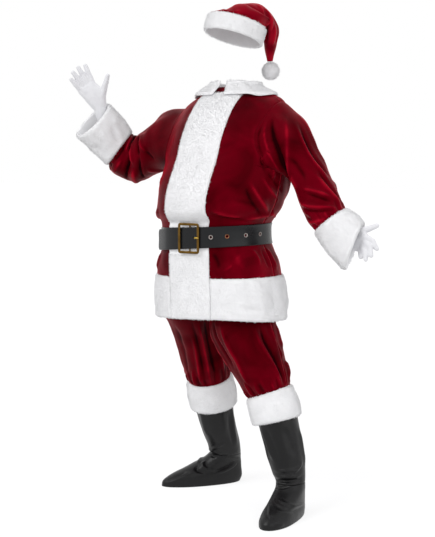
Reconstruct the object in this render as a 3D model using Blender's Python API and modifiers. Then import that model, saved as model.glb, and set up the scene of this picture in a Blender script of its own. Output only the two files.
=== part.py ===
"""A Santa suit as worn: jacket, belt, trousers, boot covers, hat and gloves.

Every garment is a hollow wall that keeps its wearer's pose. Sizes are in metres. The tables are
measured from the floor between the feet: x to the wearer's left, y to the back and z up. The last
step moves everything so that the origin is at the wearer's neck.
"""

import math
from collections import defaultdict, namedtuple
from functools import partial

import bmesh
import bpy
import numpy as np
from mathutils import Matrix, Vector

# Where the wearer holds the suit: the middle of the jacket's neck.
HELD_AT = np.array((0.02, 0.10, 1.50))

# Cloth.
VELVET = 0.002
VINYL = 0.0015
COTTON = 0.0015
ELASTIC = 0.003
PLUSH = 0.009
PINCHED_PLUSH = 0.0045
LEATHER = 0.003
SEAM_GAP = 0.0003
DIAGONALS_BY = (1.0, 0.6, 0.3)
TURN_STEP = 0.5
ALONG_STEP = 0.001
BODY_SQUARE = 2.25
LIMB_SQUARE = 2.0

# Jacket.
HEM_Z = 0.680
HEM_BAND_TOP = 0.835
BELT_Z = 0.975
BELT_HALF = 0.0375
UNDERARM_Z = 1.220
SHOULDER_Z = 1.430
NECK_Z = 1.500
ARMHOLE_REACH = 36.0
BAND_HALF = 0.0840
BODY_TURN = -3.5
BAND_MOST = 0.7
COLLAR_LOW = 1.447
COLLAR_TOP = 1.520
COLLAR_LIFT = 0.006
COLLAR_OVER_BAND = 0.010
COLLAR_OPENS = 7.0

# Belt.
BELT_TILT = 0.06
BELT_TILT_REACH = 0.20
EYELET_HOLE = 0.0045
EYELET_RIM = 0.009
EYELET_PROUD = 0.0012
EYELET_HEIGHT = 0.0015
EYELET_ANGLES = (10.0, 26.5, 43.5, 65.5, 86.0)
TIP_ANGLE = 54.0
TIP_ROUND = 0.016
BUCKLE_X = 0.006
BUCKLE_WIDE = 0.086
BUCKLE_TALL = 0.106
BUCKLE_BAR = 0.009
BUCKLE_THICK = 0.004
MIDDLE_BAR = 0.005
BUCKLE_GAP = 0.0020
BELT_SLACK = 0.0022
PRONG = 0.004
TIP_METRES_A_DEGREE = 0.0036
TIP_SAG = 0.006

# Trousers, boots and hat.
CROTCH_Z = 0.700
TROUSER_SEAM_Z = 0.428
WAIST_LOW = 0.985
WAIST_TOP = 1.025
LEAN_ALL = 0.45
LEAN_NONE = 0.62
BOOT_LOW = 0.0015
BOOT_SEAM_Z = 0.118
BOOT_TOP = 0.365
POMPOM_RADIUS = 0.034
POMPOM_AT = (0.105, 0.198, 1.5645)

# A level is a flat ring: its middle, and how far it reaches sideways, forwards and backwards.
Level = namedtuple("Level", "z x y side front back")

TORSO = [
    Level(0.680, 0.011, 0.010, 0.240, 0.191, 0.173),
    Level(0.760, 0.010, 0.008, 0.236, 0.189, 0.172),
    Level(0.835, 0.005, 0.006, 0.231, 0.186, 0.171),
    Level(0.880, 0.003, 0.003, 0.222, 0.183, 0.170),
    Level(0.918, 0.001, 0.000, 0.204, 0.180, 0.169),
    Level(0.9375, -0.001, 0.000, 0.196, 0.179, 0.168),
    Level(0.975, -0.002, 0.000, 0.191, 0.179, 0.168),
    Level(1.0125, -0.001, 0.000, 0.194, 0.179, 0.170),
    Level(1.032, 0.003, 0.002, 0.202, 0.182, 0.174),
    Level(1.062, 0.009, 0.012, 0.215, 0.222, 0.182),
    Level(1.100, 0.013, 0.022, 0.221, 0.238, 0.184),
    Level(1.160, 0.018, 0.032, 0.224, 0.233, 0.180),
    Level(1.240, 0.020, 0.050, 0.224, 0.209, 0.166),
    Level(1.330, 0.020, 0.068, 0.216, 0.188, 0.148),
    Level(1.400, 0.020, 0.085, 0.202, 0.158, 0.122),
    Level(1.445, 0.020, 0.093, 0.174, 0.123, 0.103),
    Level(1.475, 0.020, 0.098, 0.130, 0.092, 0.088),
    Level(1.500, 0.020, 0.100, 0.085, 0.072, 0.072),
    Level(1.525, 0.020, 0.103, 0.078, 0.067, 0.066),
]

# x is the way out from the middle, so both legs share the rows above the crotch.
HIPS = [
    Level(0.700, 0.106, 0.004, 0.106, 0.125, 0.130),
    Level(0.714, 0.100, 0.004, 0.104, 0.130, 0.133),
    Level(0.735, 0.088, 0.004, 0.109, 0.136, 0.138),
    Level(0.775, 0.068, 0.004, 0.124, 0.143, 0.144),
    Level(0.830, 0.042, 0.004, 0.148, 0.147, 0.147),
    Level(0.900, 0.014, 0.004, 0.170, 0.147, 0.147),
    Level(0.985, 0.000, 0.004, 0.174, 0.146, 0.144),
    Level(1.025, 0.000, 0.004, 0.174, 0.146, 0.144),
]

LEFT_LEG = [
    Level(0.330, 0.248, -0.001, 0.079, 0.079, 0.079),
    Level(0.378, 0.235, -0.001, 0.080, 0.080, 0.080),
    Level(0.428, 0.216, -0.001, 0.076, 0.076, 0.076),
    Level(0.455, 0.206, -0.004, 0.083, 0.084, 0.082),
    Level(0.500, 0.186, -0.008, 0.092, 0.093, 0.091),
    Level(0.560, 0.160, -0.013, 0.104, 0.105, 0.102),
    Level(0.620, 0.131, -0.016, 0.116, 0.116, 0.113),
    Level(0.665, 0.117, -0.012, 0.112, 0.121, 0.121),
]

RIGHT_LEG = [
    Level(0.318, 0.110, 0.150, 0.079, 0.079, 0.079),
    Level(0.372, 0.110, 0.136, 0.080, 0.080, 0.080),
    Level(0.428, 0.110, 0.119, 0.077, 0.077, 0.077),
    Level(0.455, 0.110, 0.110, 0.083, 0.083, 0.083),
    Level(0.530, 0.112, 0.082, 0.083, 0.085, 0.087),
    Level(0.600, 0.109, 0.048, 0.085, 0.094, 0.096),
    Level(0.660, 0.105, 0.018, 0.092, 0.113, 0.116),
]

LEFT_BOOT = [
    Level(0.0015, 0.320, -0.120, 0.050, 0.098, 0.172),
    Level(0.022, 0.320, -0.118, 0.051, 0.096, 0.175),
    Level(0.042, 0.319, -0.105, 0.049, 0.085, 0.162),
    Level(0.060, 0.317, -0.080, 0.048, 0.072, 0.136),
    Level(0.078, 0.314, -0.050, 0.047, 0.066, 0.105),
    Level(0.098, 0.310, -0.018, 0.047, 0.062, 0.072),
    Level(0.118, 0.305, -0.004, 0.049, 0.056, 0.056),
    Level(0.150, 0.297, -0.003, 0.056, 0.060, 0.060),
    Level(0.215, 0.281, -0.003, 0.064, 0.065, 0.065),
    Level(0.290, 0.263, -0.002, 0.069, 0.069, 0.069),
    Level(0.365, 0.243, -0.001, 0.071, 0.071, 0.071),
]

RIGHT_BOOT = [
    Level(0.0015, -0.188, 0.145, 0.048, 0.134, 0.172),
    Level(0.022, -0.186, 0.147, 0.049, 0.132, 0.178),
    Level(0.042, -0.178, 0.153, 0.048, 0.110, 0.168),
    Level(0.060, -0.164, 0.168, 0.047, 0.088, 0.146),
    Level(0.078, -0.145, 0.188, 0.047, 0.074, 0.117),
    Level(0.098, -0.120, 0.211, 0.047, 0.066, 0.080),
    Level(0.118, -0.104, 0.222, 0.050, 0.060, 0.060),
    Level(0.150, -0.103, 0.212, 0.056, 0.060, 0.061),
    Level(0.215, -0.106, 0.184, 0.064, 0.066, 0.065),
    Level(0.290, -0.109, 0.158, 0.069, 0.069, 0.069),
    Level(0.365, -0.109, 0.138, 0.071, 0.071, 0.071),
]
RIGHT_FOOT_TURN = -43.0
LEFT_FOOT_TURN = 1.0

HAT_BAND = [
    Level(1.674, 0.0324, 0.0507, 0.099, 0.103, 0.103),
    Level(1.703, 0.0370, 0.0580, 0.100, 0.104, 0.104),
    Level(1.732, 0.0417, 0.0652, 0.099, 0.103, 0.103),
]

# A loop is a ring of a bent tube: the two points across its bend, and its half depth.
Loop = namedtuple("Loop", "top_x top_y top_z under_x under_y under_z deep")

LEFT_SLEEVE = [
    Loop(0.293, 0.090, 1.383, 0.262, 0.068, 1.172, 0.096),
    Loop(0.347, 0.100, 1.277, 0.284, 0.060, 1.142, 0.090),
    Loop(0.390, 0.098, 1.202, 0.308, 0.046, 1.100, 0.084),
    Loop(0.434, 0.088, 1.130, 0.340, 0.029, 1.047, 0.074),
    Loop(0.467, 0.080, 1.072, 0.383, 0.027, 0.999, 0.064),
]
LEFT_CUFF = [
    Loop(0.513, 0.066, 1.050, 0.438, 0.025, 0.933, 0.072),
    Loop(0.545, 0.052, 1.020, 0.500, 0.024, 0.877, 0.078),
]
RIGHT_SLEEVE = [
    Loop(-0.283, 0.083, 1.425, -0.316, 0.062, 1.192, 0.104),
    Loop(-0.339, 0.083, 1.385, -0.377, 0.059, 1.167, 0.100),
    Loop(-0.392, 0.079, 1.338, -0.434, 0.053, 1.167, 0.090),
    Loop(-0.409, 0.068, 1.333, -0.480, 0.022, 1.196, 0.080),
    Loop(-0.419, 0.050, 1.342, -0.490, 0.006, 1.229, 0.069),
]
RIGHT_CUFF = [
    Loop(-0.446, 0.018, 1.395, -0.530, -0.034, 1.285, 0.074),
    Loop(-0.474, -0.020, 1.446, -0.570, -0.079, 1.337, 0.078),
]
HAT_CONE = [
    Loop(-0.012, 0.070, 1.768, 0.147, 0.080, 1.738, 0.094),
    Loop(0.036, 0.090, 1.791, 0.146, 0.118, 1.738, 0.080),
    Loop(0.094, 0.148, 1.793, 0.118, 0.160, 1.726, 0.060),
    Loop(0.135, 0.194, 1.726, 0.102, 0.178, 1.690, 0.043),
    Loop(0.127, 0.200, 1.662, 0.100, 0.186, 1.648, 0.029),
    Loop(0.112, 0.200, 1.600, 0.101, 0.194, 1.600, 0.013),
]
# Which way the loops' front looks, at the start and at the end of each tube.
SLEEVE_FACING = {
    "left": ((0.0, -1.0, 0.0), (0.35, -0.90, 0.10)),
    "right": ((0.1, -0.99, 0.0), (0.37, -0.78, -0.50)),
}
HAT_FACING = ((0.45, -0.89, 0.0), (0.45, -0.89, 0.0))

# A ball at a glove's joint. The skin is stretched over each group of them.
Ball = namedtuple("Ball", "x y z radius")

LEFT_HAND = {
    "wrist": [Ball(0.485, 0.026, 0.977, 0.030), Ball(0.522, 0.031, 0.962, 0.023)],
    "palm": [
        Ball(0.518, 0.031, 0.963, 0.022),
        Ball(0.556, 0.022, 0.945, 0.013),
        Ball(0.570, 0.021, 0.985, 0.014),
        Ball(0.549, 0.033, 1.000, 0.013),
    ],
    "thumb": [Ball(0.550, 0.034, 1.004, 0.013), Ball(0.599, 0.049, 1.024, 0.009)],
    "index": [
        Ball(0.568, 0.021, 0.987, 0.013),
        Ball(0.603, 0.007, 0.976, 0.009),
        Ball(0.620, 0.005, 0.950, 0.008),
    ],
    "middle": [
        Ball(0.568, 0.019, 0.973, 0.013),
        Ball(0.601, -0.007, 0.957, 0.009),
        Ball(0.609, -0.015, 0.928, 0.008),
    ],
    "ring": [
        Ball(0.563, 0.018, 0.957, 0.013),
        Ball(0.587, -0.011, 0.938, 0.009),
        Ball(0.591, -0.018, 0.914, 0.008),
    ],
    "little": [Ball(0.555, 0.021, 0.945, 0.012), Ball(0.566, -0.003, 0.922, 0.009)],
}
RIGHT_HAND = {
    "wrist": [Ball(-0.472, -0.018, 1.362, 0.030), Ball(-0.494, -0.040, 1.436, 0.024)],
    "palm": [
        Ball(-0.492, -0.038, 1.432, 0.023),
        Ball(-0.545, -0.086, 1.498, 0.013),
        Ball(-0.515, -0.059, 1.523, 0.014),
        Ball(-0.481, -0.043, 1.492, 0.014),
    ],
    "thumb": [Ball(-0.479, -0.042, 1.488, 0.014), Ball(-0.452, -0.046, 1.554, 0.009)],
    "index": [Ball(-0.514, -0.057, 1.524, 0.0125), Ball(-0.534, -0.074, 1.592, 0.009)],
    "middle": [Ball(-0.526, -0.067, 1.520, 0.012), Ball(-0.553, -0.092, 1.584, 0.009)],
    "ring": [Ball(-0.537, -0.077, 1.511, 0.012), Ball(-0.564, -0.110, 1.566, 0.009)],
    "little": [Ball(-0.545, -0.087, 1.499, 0.0115), Ball(-0.566, -0.120, 1.540, 0.008)],
}
WRIST_CUT = 0.030

# Grid steps.
ARMHOLE_STEPS = 8
BAND_COLUMNS = np.array((0.0, 0.5, 1.0))
SIDE_COLUMNS = np.linspace(0.0, 1.0, 5)[1:]
BACK_COLUMNS = np.linspace(0.0, 1.0, 9)
COLLAR_COLUMNS = 19
SLEEVE_ROWS = 9
ELBOW_ROW = 4
CUFF_ROWS = 3
LEG_COLUMNS = 6
HAT_COLUMNS = 16
HAT_ROWS = 10
BOOT_COLUMNS = 12

# Rings are arrays of four vectors a row: middle, side, front and back.
Tube = namedtuple("Tube", "knots rings square")

# A piece of cloth: a grid of points with the direction out of each, whether its columns close
# into a ring, and how far out its wall's two faces lie.
Piece = namedtuple("Piece", "name points normals closed inner outer material")


def unit(vectors):
    return vectors / np.linalg.norm(vectors, axis=-1, keepdims=True)


def ease(x):
    x = np.clip(x, 0.0, 1.0)
    return x * x * (3.0 - 2.0 * x)


def smooth(knots, values, at):
    """Values at any places on a smooth curve through those at the knots."""
    at = np.asarray(at, float)
    slopes = np.gradient(values, knots, axis=0)
    low = np.clip(np.searchsorted(knots, at, side="right") - 1, 0, len(knots) - 2)
    step = (knots[low + 1] - knots[low]).reshape(at.shape + (1,) * (values.ndim - 1))
    f = (at - knots[low]).reshape(step.shape) / step
    start = values[low] * (1 + 2 * f) + slopes[low] * step * f
    end = values[low + 1] * (3 - 2 * f) - slopes[low + 1] * step * (1 - f)
    return start * (1 - f) ** 2 + end * f**2


def level_tube(table, square, turn=0.0, lean=None, outward=1.0):
    """A tube of levels. lean gives, for each height, how far its rings stand square to the path."""
    middle = np.array([(row.x * outward, row.y, row.z) for row in table])
    upward = np.tile((0.0, 0.0, 1.0), (len(table), 1))
    if lean is not None:
        share = lean(middle[:, 2])[:, None]
        upward = unit(share * unit(np.gradient(middle, axis=0)) + (1 - share) * upward)
    angle = math.radians(turn)
    ahead = unit(np.cross((math.cos(angle), math.sin(angle), 0.0), upward))
    aside = np.cross(upward, ahead) * outward
    size = np.array([(row.side, row.front, row.back) for row in table])
    rings = np.stack(
        (middle, aside * size[:, :1], ahead * size[:, 1:2], -ahead * size[:, 2:]), axis=1
    )
    return Tube(middle[:, 2], rings, square)


def loop_tube(table, facing):
    """A tube of loops: angle 0 is at its front, 90 under it, 180 behind and 270 on top."""
    top = np.array([(row.top_x, row.top_y, row.top_z) for row in table])
    under = np.array([(row.under_x, row.under_y, row.under_z) for row in table])
    deep = np.array([row.deep for row in table])[:, None]
    down = (under - top) / 2
    along = unit(down)
    look = np.linspace(*facing, len(table))
    ahead = unit(look - (along * look).sum(axis=1, keepdims=True) * along) * deep
    rings = np.stack(((top + under) / 2, down, ahead, -ahead), axis=1)
    return Tube(np.arange(len(table), dtype=float), rings, LIMB_SQUARE)


def on_tube(tube, angle, at):
    """The tube's surface at the angles round it and the places along it."""
    angle, at = np.broadcast_arrays(np.radians(angle), at)
    middle, side, front, back = np.moveaxis(smooth(tube.knots, tube.rings, at), -2, 0)
    power = 2.0 / tube.square
    across, ahead = np.sin(angle)[..., None], np.cos(angle)[..., None]
    depth = np.where(ahead > 0, front, back) * np.abs(ahead) ** power
    return middle + side * np.sign(across) * np.abs(across) ** power + depth


def full_circle(count):
    return np.arange(count) * 360.0 / count


def cloth(name, place, angle, at, inner, outer, material, closed=False):
    """A piece on the surface place(angle, at). Its columns run anticlockwise seen from outside."""
    angle, at = np.broadcast_arrays(angle, at)
    across = place(angle + TURN_STEP, at) - place(angle - TURN_STEP, at)
    onward = place(angle, at + ALONG_STEP) - place(angle, at - ALONG_STEP)
    normals = unit(np.cross(across, onward)) * np.sign(angle[0, 1] - angle[0, 0])
    return Piece(name, place(angle, at), normals, closed, inner, outer, material)


def borders(rows, columns, closed):
    """The grid's edges as loops of (row, column), anticlockwise from outside."""
    bottom = [(0, j) for j in range(columns)]
    top = [(rows - 1, j) for j in reversed(range(columns))]
    if closed:
        return [bottom, top]
    right = [(i, columns - 1) for i in range(1, rows - 1)]
    left = [(i, 0) for i in reversed(range(1, rows - 1))]
    return [bottom + right + top + left]


def drawn_in(points, normals, closed):
    """The grid with its edges moved in by half a seam's gap."""
    result = points.copy()
    for border in borders(*points.shape[:2], closed):
        rows, columns = np.transpose(border)
        edge, outward = points[rows, columns], normals[rows, columns]
        along = unit(np.roll(edge, -1, axis=0) - np.roll(edge, 1, axis=0))
        result[rows, columns] += unit(np.cross(outward, along)) * SEAM_GAP / 2
    return result


def wall_mesh(piece, normals):
    """Points and triangles of the piece's wall. Both faces, and two walls' shared edges, have the
    same diagonals."""
    points = drawn_in(piece.points, normals, piece.closed)
    rows, columns = points.shape[:2]
    count = rows * columns
    number = np.arange(count).reshape(rows, columns)
    faces = []
    for i in range(rows - 1):
        for j in range(columns if piece.closed else columns - 1):
            k = (j + 1) % columns
            a, b, c, d = number[i, j], number[i, k], number[i + 1, k], number[i + 1, j]
            for triangle in ((a, b, c), (a, c, d)):
                faces.append(triangle)
                faces.append([count + corner for corner in reversed(triangle)])
    order = piece.points.reshape(-1, 3) @ DIAGONALS_BY
    for border in borders(rows, columns, piece.closed):
        ring = [number[place] for place in border]
        for a, b in zip(ring, ring[1:] + ring[:1]):
            c, d = (count + a, b) if order[a] < order[b] else (count + b, a)
            faces.append((b, a, c))
            faces.append((d, count + a, count + b))
    outer = points + normals * np.broadcast_to(piece.outer, points.shape[:2])[..., None]
    inner = points + normals * np.broadcast_to(piece.inner, points.shape[:2])[..., None]
    return np.concatenate((outer.reshape(-1, 3), inner.reshape(-1, 3))), faces


def new_object(name, points, faces, material):
    mesh = bpy.data.meshes.new(name)
    mesh.from_pydata([tuple(point) for point in points], [], [tuple(map(int, f)) for f in faces])
    mesh.materials.append(material)
    obj = bpy.data.objects.new(name, mesh)
    SUIT.objects.link(obj)
    return obj


def sew(pieces):
    """Makes each piece's wall. Pieces that share an edge share its mitre, so their gap is even."""
    total = defaultdict(lambda: np.zeros(3))
    keys = [np.round(piece.points, 5) + 0.0 for piece in pieces]
    for piece, key in zip(pieces, keys):
        for place in np.ndindex(key.shape[:2]):
            total[tuple(key[place])] += piece.normals[place]
    for piece, key in zip(pieces, keys):
        shared = np.array([total[tuple(point)] for point in key.reshape(-1, 3)])
        normals = unit(shared).reshape(piece.points.shape)
        new_object(piece.name, *wall_mesh(piece, normals), piece.material)


def material(name, colour, roughness, metallic=0.0):
    made = bpy.data.materials.new(name)
    made.use_nodes = True
    shader = made.node_tree.nodes["Principled BSDF"]
    shader.inputs["Base Color"].default_value = (*colour, 1.0)
    shader.inputs["Roughness"].default_value = roughness
    shader.inputs["Metallic"].default_value = metallic
    return made


def modified(obj, kind, **settings):
    """Adds a modifier to the object, which the build evaluates."""
    modifier = obj.modifiers.new(kind.title(), kind)
    for key, value in settings.items():
        setattr(modifier, key, value)
    return modifier


def cut_or_join(obj, other, operation):
    CUTTERS.objects.link(other)
    for holder in list(other.users_collection):
        if holder is not CUTTERS:
            holder.objects.unlink(other)
    other.hide_render = True
    other.display_type = "WIRE"
    modified(obj, "BOOLEAN", object=other, operation=operation, solver="EXACT")


# The jacket's cut, in angles round the torso and heights on it.


def on_body(angle, z):
    """The torso's surface, which rises to the wearer's left round the belt."""
    points = on_tube(BODY, angle, z)
    near_belt = ease(1.0 - np.abs(z - BELT_Z) / BELT_TILT_REACH)
    points[..., 2] += BELT_TILT * points[..., 0] * near_belt
    return points


def armhole_edge(z):
    """How far round the front's side edge is: the side seam, the armhole, then the shoulder seam."""
    half = (SHOULDER_Z - UNDERARM_Z) / 2
    up = (np.asarray(z) - UNDERARM_Z - half) / half
    return 90.0 - ARMHOLE_REACH * np.sqrt(np.clip(1.0 - up**2, 0.0, None))


def band_edge(z):
    """Half the front band's angle, which keeps its width in metres until the neck narrows it."""
    side = np.linalg.norm(smooth(BODY.knots, BODY.rings, z)[..., 1, :], axis=-1)
    share = np.minimum(BAND_HALF / side, BAND_MOST)
    return np.degrees(np.arcsin(share ** (BODY_SQUARE / 2)))


def jacket_heights():
    """The rows of the body's panels, closer together round the armholes."""
    turns = np.radians(np.arange(ARMHOLE_STEPS + 1) * 180.0 / ARMHOLE_STEPS)
    armhole = UNDERARM_Z + (SHOULDER_Z - UNDERARM_Z) * (1.0 - np.cos(turns)) / 2
    skirt = (HEM_BAND_TOP, 0.880, 0.918)
    waist = (BELT_Z - BELT_HALF, BELT_Z, BELT_Z + BELT_HALF)
    chest = (1.032, 1.062, 1.100, 1.170)
    return np.concatenate((skirt, waist, chest, armhole, (1.455, 1.480, NECK_Z)))


def front_angles(z):
    """A row of angles from the centre front to the side edge, with the band's columns first."""
    band = band_edge(z)[:, None]
    side = armhole_edge(z)[:, None]
    return np.hstack((band * BAND_COLUMNS, band + (side - band) * SIDE_COLUMNS))


def back_angles(z):
    side = 180.0 - armhole_edge(z)[:, None]
    return side + (360.0 - 2 * side) * BACK_COLUMNS


def body_piece(name, angles, z, inner, outer, material):
    return cloth(name, on_body, angles, z[:, None], inner, outer, material)


def armhole_ring(side, angle):
    """The armhole's edge, by the same angles as the sleeve's loops."""
    angle = np.radians(angle)
    half = (SHOULDER_Z - UNDERARM_Z) / 2
    round_body = 90.0 - ARMHOLE_REACH * np.cos(angle)
    if side == "right":
        round_body = 360.0 - round_body
    return on_body(round_body, UNDERARM_Z + half - half * np.sin(angle))


def joined_tube(tube, start, angle, at):
    """The tube's surface, with its first ring pulled onto a given one and eased out along it."""
    pull = start(angle) - on_tube(tube, angle, 0.0)
    return on_tube(tube, angle, at) + pull * (1.0 - ease(at))[..., None]


def sleeve_pieces(side, sleeve, cuff):
    """A sleeve and its plush cuff, which share the ring where they are sewn together."""
    front, under, behind, top = armhole_ring(side, np.array((0.0, 90.0, 180.0, 270.0)))
    armhole = Loop(*top, *under, np.linalg.norm(front - behind) / 2)
    table = [armhole, *sleeve, *cuff]
    tube = loop_tube(table, SLEEVE_FACING[side])
    angles = full_circle(2 * ARMHOLE_STEPS)
    angles = angles if side == "left" else angles[::-1]

    def place(angle, at):
        return joined_tube(tube, lambda a: armhole_ring(side, a), angle, at)

    seam, end = len(sleeve), len(table) - 1
    sleeve_at = np.linspace(0, seam, SLEEVE_ROWS)[:, None]
    cuff_at = np.linspace(seam, end, CUFF_ROWS)[:, None]
    tubes = {f"sleeve_{side}": sleeve_at}
    if side == "right":
        # The raised arm's sleeve bends so far that it is two solids, which meet at the elbow.
        tubes = {
            "sleeve_right_upper": sleeve_at[: ELBOW_ROW + 1],
            "sleeve_right_lower": sleeve_at[ELBOW_ROW:],
        }
    return [
        *(
            cloth(name, place, angles[None, :], at, 0.0, VELVET, RED, True)
            for name, at in tubes.items()
        ),
        cloth(f"cuff_{side}", place, angles[None, :], cuff_at, 0.0, PLUSH, FUR, True),
    ]


def make_jacket():
    z = jacket_heights()
    front = front_angles(z)
    hem_z = np.array((HEM_Z, (HEM_Z + HEM_BAND_TOP) / 2, HEM_BAND_TOP))
    hem_front = front_angles(hem_z)[:, len(BAND_COLUMNS) - 1 :]
    hem = np.hstack((hem_front, back_angles(hem_z)[:, 1:], 360.0 - hem_front[:, -2::-1]))
    sew(
        [
            body_piece("jacket_front_left", front, z, 0.0, VELVET, RED),
            body_piece("jacket_front_right", 360.0 - front[:, ::-1], z, 0.0, VELVET, RED),
            body_piece("jacket_back", back_angles(z), z, 0.0, VELVET, RED),
            body_piece("hem_band", hem, hem_z, 0.0, PLUSH, FUR),
            *sleeve_pieces("left", LEFT_SLEEVE, LEFT_CUFF),
            *sleeve_pieces("right", RIGHT_SLEEVE, RIGHT_CUFF),
        ]
    )
    over_velvet = VELVET + SEAM_GAP
    band_z = np.concatenate((hem_z[:-1], z[:-2]))
    half_band = band_edge(band_z)[:, None] * BAND_COLUMNS
    band = np.hstack((-half_band[:, :0:-1], half_band))
    pinched = np.abs(band_z - BELT_Z) < BUCKLE_TALL / 2 + BUCKLE_THICK + 0.001
    plush = np.where(pinched, PINCHED_PLUSH, PLUSH)[:, None]
    sew([body_piece("front_band", band, band_z, over_velvet, over_velvet + plush, FUR)])
    make_collar()


def make_collar():
    """The collar turns down over the yoke, which slopes too much to share the panels' points."""
    z = np.array((COLLAR_LOW, 1.473, NECK_Z, COLLAR_TOP))
    angles = np.linspace(COLLAR_OPENS, 360.0 - COLLAR_OPENS, COLLAR_COLUMNS)
    grid = np.tile(angles, (len(z), 1))
    from_front = np.abs((grid + 180.0) % 360.0 - 180.0)
    lift = COLLAR_LIFT + COLLAR_OVER_BAND * ease((60.0 - from_front) / 20.0)
    sew([body_piece("collar", grid, z, lift, lift + PLUSH, FUR)])


# The belt runs from the buckle round the back and on past the buckle, over its own start.


def belt_lift(along):
    """How far the strap's inner face lies out from the body."""
    from_front = np.abs((along + 180.0) % 360.0 - 180.0)
    over_band = (PINCHED_PLUSH + SEAM_GAP + BELT_SLACK) * ease((46.0 - from_front) / 24.0)
    on_itself = (LEATHER + SEAM_GAP) * ease((along - 282.0) / 30.0)
    return VELVET + SEAM_GAP + over_band + on_itself


def make_strap():
    """The strap's angles run to the wearer's right, from its fixed end to its rounded tip."""
    end = 360.0 + TIP_ANGLE
    tip_steps = np.array((6.0, 3.0, 1.4, 0.5, 0.0))
    past_start = np.linspace(366.0, end - 8.0, 8)
    along = np.concatenate((np.linspace(1.0, 360.0, 61), past_start, end - tip_steps))
    metres = (end - along) * TIP_METRES_A_DEGREE
    corner = np.clip(TIP_ROUND - metres, 0.0, TIP_ROUND)
    half = BELT_HALF - TIP_ROUND + np.sqrt(TIP_ROUND**2 - corner**2)
    z = (BELT_Z + np.array((-1.0, 0.0, 1.0))[:, None] * half)[:, ::-1]
    lift = belt_lift(along)[::-1]

    def place(angle, height):
        points = on_body(angle, height)
        points[..., 2] -= TIP_SAG * ease((-angle - 345.0) / 60.0)
        return points

    strap = cloth("belt_strap", place, -along[None, ::-1], z, lift, lift + LEATHER, BLACK_LEATHER)
    sew([strap])
    return bpy.data.objects["belt_strap"]


def lathe(name, profile, at, axis, count, cloth):
    """A ring turned about an axis from (radius, height) points."""
    axis = unit(np.array(axis))
    aside = unit(np.cross(axis, (0.0, 0.0, 1.0)))
    upward = np.cross(axis, aside)
    points, faces = [], []
    for turn in np.radians(full_circle(count)):
        outward = aside * math.cos(turn) + upward * math.sin(turn)
        points += [at + outward * radius + axis * height for radius, height in profile]
    steps = len(profile)
    for i in range(count):
        for j in range(steps):
            a, b = i * steps + j, i * steps + (j + 1) % steps
            c, d = ((i + 1) % count) * steps + (j + 1) % steps, ((i + 1) % count) * steps + j
            faces += [(a, c, b), (a, d, c)]
    return new_object(name, np.array(points), faces, cloth)


def strap_place(angle):
    """A point on the free strap's outer face and the direction out of it."""
    here, ahead, above = on_body(
        np.array((angle, angle + 1.0, angle)), np.array((BELT_Z, BELT_Z, BELT_Z + 0.01))
    )
    outward = unit(np.cross(ahead - here, above - here))
    return here + outward * (belt_lift(360.0 - angle) + LEATHER), outward


def drill(at, outward, radius, length):
    """A round cutter centred on a place."""
    mesh = bpy.data.meshes.new("drill")
    shape = bmesh.new()
    bmesh.ops.create_cone(
        shape, cap_ends=True, segments=14, radius1=radius, radius2=radius, depth=length
    )
    turn = Vector((0.0, 0.0, 1.0)).rotation_difference(Vector(outward))
    bmesh.ops.transform(
        shape, matrix=Matrix.Translation(Vector(at)) @ turn.to_matrix().to_4x4(), verts=shape.verts
    )
    shape.to_mesh(mesh)
    shape.free()
    return bpy.data.objects.new("drill", mesh)


def make_eyelets(strap):
    """The strap's holes. The first takes the prong, and the others each have a metal eyelet."""
    for number, angle in enumerate(EYELET_ANGLES):
        at, outward = strap_place(angle)
        cut_or_join(strap, drill(at, outward, EYELET_HOLE, 4 * LEATHER), "DIFFERENCE")
        low, high = EYELET_PROUD, EYELET_PROUD + EYELET_HEIGHT
        rim = [(EYELET_HOLE, low), (EYELET_RIM, low), (EYELET_RIM, high), (EYELET_HOLE, high)]
        if number > 0:
            lathe(f"eyelet_{number}", rim, at, outward, 14, NICKEL)


def box(name, middle, size, cloth):
    mesh = bpy.data.meshes.new(name)
    shape = bmesh.new()
    bmesh.ops.create_cube(shape, size=1.0)
    place = Matrix.Translation(Vector(middle)) @ Matrix.Diagonal((*size, 1.0))
    bmesh.ops.transform(shape, matrix=place, verts=shape.verts)
    shape.to_mesh(mesh)
    shape.free()
    mesh.materials.append(cloth)
    obj = bpy.data.objects.new(name, mesh)
    SUIT.objects.link(obj)
    return obj


def make_buckle():
    """A frame that lies on the free strap, with a middle bar behind it between the two layers."""
    front = on_body(np.array(0.0), np.array(BELT_Z))
    strap_back = front[1] - belt_lift(1.0)
    bar_y = strap_back - LEATHER / 2
    frame_back = strap_back - 2 * LEATHER - BUCKLE_GAP
    frame_y = frame_back - BUCKLE_THICK / 2
    z = front[2]
    frame = box(
        "buckle_frame", (BUCKLE_X, frame_y, z), (BUCKLE_WIDE, BUCKLE_THICK, BUCKLE_TALL), BRASS
    )
    modified(frame, "BEVEL", width=0.0012, segments=2)
    window = (BUCKLE_WIDE - 2 * BUCKLE_BAR, 0.02, BUCKLE_TALL - 2 * BUCKLE_BAR)
    cut_or_join(frame, box("window", (BUCKLE_X, frame_y, z), window, BRASS), "DIFFERENCE")
    bar_tall = BUCKLE_TALL - BUCKLE_BAR
    bar = box("bar", (BUCKLE_X, bar_y, z), (MIDDLE_BAR, LEATHER - 0.0006, bar_tall), BRASS)
    cut_or_join(frame, bar, "UNION")
    for side in (-1.0, 1.0):
        post_z = z + side * (bar_tall / 2 - MIDDLE_BAR / 2)
        middle_y = (bar_y + frame_y) / 2
        size = (MIDDLE_BAR, bar_y - frame_y, MIDDLE_BAR)
        post = box("post", (BUCKLE_X, middle_y, post_z), size, BRASS)
        cut_or_join(frame, post, "UNION")
    return frame_back


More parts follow.
